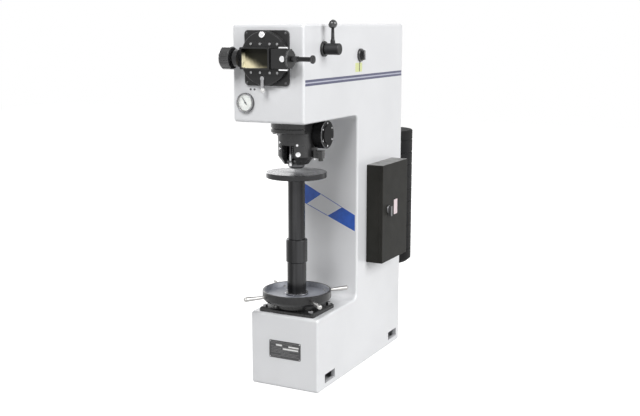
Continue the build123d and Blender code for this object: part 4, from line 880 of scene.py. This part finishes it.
class TESTER_OT_column_band(bpy.types.Operator):
    """Slanting blue band across the column's front, open in the middle"""
    bl_idname = "tester.column_band"
    bl_label = "Column band"

    def execute(self, context):
        film = user("sizes").film / MM
        upper, lower = line((-77.6, 641), (124, 541)), line((-78, 572), (124, 485))
        left, right = line((-10.9, 610.8), (-66.7, 572.7)), line((64.7, 567.6), (8.7, 533))
        edge, border = 116, 3.2
        bands, borders = [], []
        for cut, x in ((left, -edge), (right, edge)):
            corners = [(x, upper(x)), meet(upper, cut), meet(lower, cut), (x, lower(x))]
            bands.append(paint(corners, film))
            borders.append(paint(grown(corners, border), film * 0.5))
        for side, thick in ((upper, -2.2), (lower, 2.2)):
            (x0, z0), (x1, z1) = meet(side, left), meet(side, right)
            bands.append(paint([(x0, z0), (x1, z1), (x1, z1 + thick), (x0, z0 + thick)], film))
        piece("column_band", bands, printed("band_ink", chosen("band"), 0.82, 60))
        ink = printed("border_ink", (0.8, 0.8, 0.8), 0.95)
        piece("column_band_border", borders, ink, "root", "white_paint")
        return {"FINISHED"}


# -------- measuring head
class TESTER_OT_head_fittings(bpy.types.Operator):
    """Recessed screws of the covers and the screen plate"""
    bl_idname = "tester.plate_screws"
    bl_label = "Cover screws"

    def execute(self, context):
        flat, pan = round_screw(4, 1.2), round_screw(4, 2.4)
        shells = []
        for i in range(4):
            y = -146 + 697 * i / 3
            shells += [facing(flat, (x, y, SCREW_SEAT), (0, 0, 1)) for x in (-100.7, 100.7)]
        for i in range(5):
            shells += [facing(pan, (x, REAR_Y, 128 + 246 * i), (0, 1, 0)) for x in (-83, 83)]
        shells += [on_front(pan, x, SCREEN_Z + z, PLATE_Y) for x in (-68, 68) for z in (-75, 75)]
        shells += [on_front(round_screw(3.4, 1.4), x, 991.5) for x in (-61.5, -47.5)]
        dark = black_oxide("screw_dark", "y", (0.09, 0.09, 0.092), 0.28)
        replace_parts(piece("recessed_screws", shells, dark, "root", "bright_steel"), "cover_screws")
        return {"FINISHED"}


class TESTER_OT_micrometer(bpy.types.Operator):
    """Knurls, scale lines and band of the micrometer"""
    bl_idname = "tester.micrometer"
    bl_label = "Micrometer detail"

    def execute(self, context):
        def knurl(teeth, depth):
            return lambda a, r, h: r * (1 + depth * np.sign(np.sin(teeth * a)) * (r > r.max() * 0.97))

        ratchet = spun([(11, 0), (12.3, 0.6), (12.3, 6.4), (11, 7)], 96, knurl(32, 0.014))
        sleeve = spun([(8.6, 0), (9, 0.4), (9, 15.6), (8.6, 16)], 72, knurl(24, 0.016))
        band = spun([(22, 0), (26.1, 0), (26.5, 0.3), (26.5, 7.7), (26.1, 8), (22, 8)], 64, ring=True)
        ratchet, sleeve, band = (on_side(shell, SPINDLE_Y, SCREEN_Z, x)
                                 for shell, x in ((ratchet, 177.6), (sleeve, 114.6), (band, 101.2)))
        piece("micrometer_knurls", [ratchet, sleeve], black_oxide("knurl_dark", "x", (0.04, 0.04, 0.042), 0.26),
              "micrometer", "bright_steel")
        piece("micrometer_band", [band], black_oxide("band_satin", "x", (0.05, 0.05, 0.052), 0.3),
              "measuring_head", "bright_steel")
        marks = []
        for i in range(25):
            a = math.radians(-60 + 5 * i)
            out = np.array([0, -math.cos(a), math.sin(a)])
            long = 6 if i % 5 == 0 else 3.6
            at = np.array([BARREL_END - long / 2, SPINDLE_Y, SCREEN_Z]) + out * BARREL_FACE
            marks.append(facing(slab(rounded(0.5, long, 0.2, 3), 0.2), at, out, (1, 0, 0)))
        ink = printed("mark_ink", (0.36, 0.36, 0.35), 0.8)
        piece("micrometer_marks", marks, ink, "measuring_head", "plate")
        return {"FINISHED"}


class TESTER_OT_painted_spill_sheets(bpy.types.Operator):
    """Thin sheets on the hood's floor and its left inner wall, painted with the light that the glass throws on
    them
    """
    bl_idname = "tester.screen_liner"
    bl_label = "Screen lining"

    def execute(self, context):
        floor = slab(rounded(86, 20, 1), 0.4)
        floor = facing(floor, (-17, SPILL_SHEETS_Y, SCREEN_Z - 28.95), (0, 0, 1), (0, 1, 0))
        wall = on_side(slab(rounded(20, 46, 1), 0.4), SPILL_SHEETS_Y, SCREEN_Z - 4, -61.95)
        piece("screen_liner", [floor, wall], spill_light(), "measuring_head", "white_paint")
        return {"FINISHED"}


class TESTER_OT_focus(bpy.types.Operator):
    """End cap and screw of the focus knob"""
    bl_idname = "tester.focus"
    bl_label = "Focus knob detail"

    def execute(self, context):
        cap = spun([(15, 0), (15.6, 0.5), (15, 1.4), (13, 1.8)], 48)
        screw = round_screw(4.5, 1.6)
        shells = [facing(cap, (-126, SPINDLE_Y, SCREEN_Z), (-1, 0, 0)),
                  facing(screw, (-127.7, SPINDLE_Y, SCREEN_Z), (-1, 0, 0))]
        piece("focus_cap", shells, chrome(), "focus", "bright_steel")
        return {"FINISHED"}


class TESTER_OT_gauge(bpy.types.Operator):
    """Divisions of the load gauge and its rolled bezel"""
    bl_idname = "tester.gauge"
    bl_label = "Load gauge detail"

    def execute(self, context):
        count = user("sizes").dial_marks
        marks = []
        for i in range(count + 1):
            a = math.radians(-225 + 270 * i / count)
            long, wide = (4.6, 0.8) if i % 5 == 0 else (2.6, 0.4)
            out = np.array([math.cos(a), 0, -math.sin(a)])
            at = np.array([GAUGE[0], DIAL_Y, GAUGE[1]]) + out * (DIAL_RADIUS - long / 2)
            marks.append(facing(slab(rounded(wide, long, wide * 0.4, 3), 0.15), at, (0, -1, 0), out))
        piece("gauge_marks", marks, printed("dial_ink", (0.2, 0.2, 0.22), 0.8))
        piece("gauge_bezel", [on_front(hoop(28, 1.6, 72, 0.9), *GAUGE, -190.8)],
              bright_metal("bezel_bright", "z", (0.26, 0.26, 0.27), 0.22, 0.05, 0.4), "root", "bright_steel")
        return {"FINISHED"}


# -------- plates and labels
class TESTER_OT_type_plate(bpy.types.Operator):
    """Blank fields, ruled lines and rivets of the type plate"""
    bl_idname = "tester.type_plate_fields"
    bl_label = "Type plate detail"

    def execute(self, context):
        middle, face, height = TYPE_PLATE
        fields = ((-18, 147, 23, 5.4), (36, 145.2, 38, 5), (25, 136, 58, 5.4))
        shells = [on_front(slab(rounded(w, h, 0.6, 3), 0.2), x, z, face) for x, z, w, h in fields]
        ink = printed("field_print", (0.8, 0.8, 0.79), 0.93)
        piece("type_plate_fields", shells, ink, "root", "white_paint")
        full = 104
        rules = ((middle, 157.2, full), (-8, 151.6, 80), (middle, 141, full), (-28, 136, 36),
                 (middle, 130.6, full), (-12, 126, 70), (middle, 121.4, full), (20, 116.6, 60),
                 (middle, 112, full), (-30, 107.4, 34))
        lines = [on_front(slab(rounded(w, 0.6, 0.2, 3), 0.2), x, z, face) for x, z, w in rules]
        piece("type_plate_lines", lines, printed("line_print", (0.34, 0.34, 0.34), 0.8))
        rivets = [on_front(round_screw(1.9, 1), middle + sx * 54.6, height + sz * 25.8, face)
                  for sx in (-1, 1) for sz in (-1, 1)]
        piece("type_plate_rivets", rivets, screw_steel(), "root", "bright_steel")
        return {"FINISHED"}


class TESTER_OT_labels(bpy.types.Operator):
    """Blank labels under the switch and on the cabinet door, with the switch's index line"""
    bl_idname = "tester.labels"
    bl_label = "Labels"

    def execute(self, context):
        label, mark = (0.5, 0.2), (0.25,)
        for name, outline, levels, place, ink, *body_slot in (
            ("switch_label", (52, 30, 2), label, (208, 1048),
             printed("label_print", (0.7, 0.74, 0.36), 0.92)),
            ("switch_label_mark", (5, 30, 0.8), mark, (213, 1049, SIDE_X + 0.45),
             printed("label_mark_ink", (0.06, 0.06, 0.04), 0.7)),
            ("switch_index", (1.8, 11, 0.6), mark, (218, 1097, SIDE_X + 17.9),
             printed("index_white", (0.8, 0.8, 0.78), 0.9), "switch", "white_plastic"),
            ("cabinet_label", (30, 53, 3), label, (394, 551.5, CABINET_X),
             printed("cabinet_label_print", (0.8, 0.67, 0.69), 0.9), "door", "plate"),
        ):
            piece(name, [on_side(slab(rounded(*outline), *levels), *place)], ink, *body_slot)
        return {"FINISHED"}


# -------- nose
class TESTER_OT_nose_fittings(bpy.types.Operator):
    """Cap screws and thumb screw of the test nose, ring and screws of its lamp"""
    bl_idname = "tester.nose_fittings"
    bl_label = "Nose fittings"

    def execute(self, context):
        def out_of_nose(x, z, shell, sink=0.8):
            """Stands a shell on the nose's drum, pointing away from its axis."""
            y = -math.sqrt(NOSE_RADIUS ** 2 - x ** 2)
            out = np.array([x, y, 0]) / NOSE_RADIUS
            return facing(shell, np.array([x, y, z]) - sink * out, out)

        def knurl(a, r, h):
            return r * (1 + 0.03 * np.sign(np.sin(18 * a)) * ((r > 8.2) & (h > 4) & (h < 9)))

        profile = [(5.5, 0), (5.5, 3), (8, 3.4), (8.4, 4.2), (8.4, 8.4), (7.6, 9.4), (3, 9.8)]
        screws = [out_of_nose(x, z, socket_screw(4, 4))
                  for x, z in ((-31, 815), (-31, 795), (31, 808))]
        screws.append(out_of_nose(33, 779, spun(profile, 72, knurl)))
        piece("nose_screws", screws, chrome(), "root", "bright_steel")
        ring_x, face_x, circle = 95.2, 96, 37
        ring = [on_side(hoop(44.4, 1.5, 96, 0.8), *LAMP, ring_x)]
        satin = black_oxide("ring_satin", "x", (0.14, 0.14, 0.145), 0.2)
        piece("lamp_ring", ring, satin, "root", "bright_steel")
        head = round_screw(3, 1.6)
        heads = [on_side(head, LAMP[0] + circle * math.cos(a), LAMP[1] + circle * math.sin(a), face_x)
                 for a in np.radians([30, 90, 150, 210, 270, 330])]
        piece("lamp_screws", heads, screw_steel(), "root", "bright_steel")
        return {"FINISHED"}


class TESTER_OT_wheel_band(bpy.types.Operator):
    """Bright band at the foot of the spindle's cover tube"""
    bl_idname = "tester.wheel_band"
    bl_label = "Tube band"

    def execute(self, context):
        outline = [(34, 304.6), (37.4, 304.6), (37.9, 305), (37.9, 308.2), (37.4, 308.6), (34, 308.6)]
        bright = bright_metal("band_bright", "z", (0.4, 0.4, 0.42), 0.25, 0.05, 0.4)
        piece("tube_band", [spun(outline, 72, ring=True)], bright, "handwheel", "bright_steel")
        return {"FINISHED"}


# -------- panel and run
OPERATORS = (
    TESTER_OT_stage, TESTER_OT_enamel, TESTER_OT_black_paint, TESTER_OT_steel, TESTER_OT_iron,
    TESTER_OT_plastics, TESTER_OT_side_stripes, TESTER_OT_column_band, TESTER_OT_head_fittings,
    TESTER_OT_micrometer, TESTER_OT_painted_spill_sheets, TESTER_OT_focus, TESTER_OT_gauge, TESTER_OT_type_plate,
    TESTER_OT_labels, TESTER_OT_nose_fittings, TESTER_OT_wheel_band,
)


class TESTER_PT_panel(bpy.types.Panel):
    """Colours, sizes and steps of the hardness tester's dressing"""
    bl_idname = "TESTER_PT_panel"
    bl_label = "Hardness tester"
    bl_space_type = "VIEW_3D"
    bl_region_type = "UI"
    bl_category = "Hardness tester"

    def draw(self, context):
        for group in ("colours", "sizes", "stage"):
            box = self.layout.box()
            settings = user(group)
            for name in settings.bl_rna.properties.keys():
                if name not in ("rna_type", "name"):
                    box.prop(settings, name)
        for operator in OPERATORS:
            self.layout.operator(operator.bl_idname)


CLASSES = (TesterColours, TesterSizes, TesterStage) + OPERATORS + (TESTER_PT_panel,)


def register():
    for made in CLASSES:
        bpy.utils.register_class(made)
    bpy.types.Scene.tester_colours = PointerProperty(type=TesterColours)
    bpy.types.Scene.tester_sizes = PointerProperty(type=TesterSizes)
    bpy.types.Scene.tester_stage = PointerProperty(type=TesterStage)


def unregister():
    for group in ("colours", "sizes", "stage"):
        delattr(bpy.types.Scene, "tester_" + group)
    for made in reversed(CLASSES):
        bpy.utils.unregister_class(made)


def main():
    register()
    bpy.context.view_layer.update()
    for operator in OPERATORS:
        step = getattr(bpy.ops.tester, operator.bl_idname.split(".")[1])
        if step() != {"FINISHED"}:
            raise RuntimeError(operator.bl_label + " did not finish")


if __name__ == "__main__":
    main()
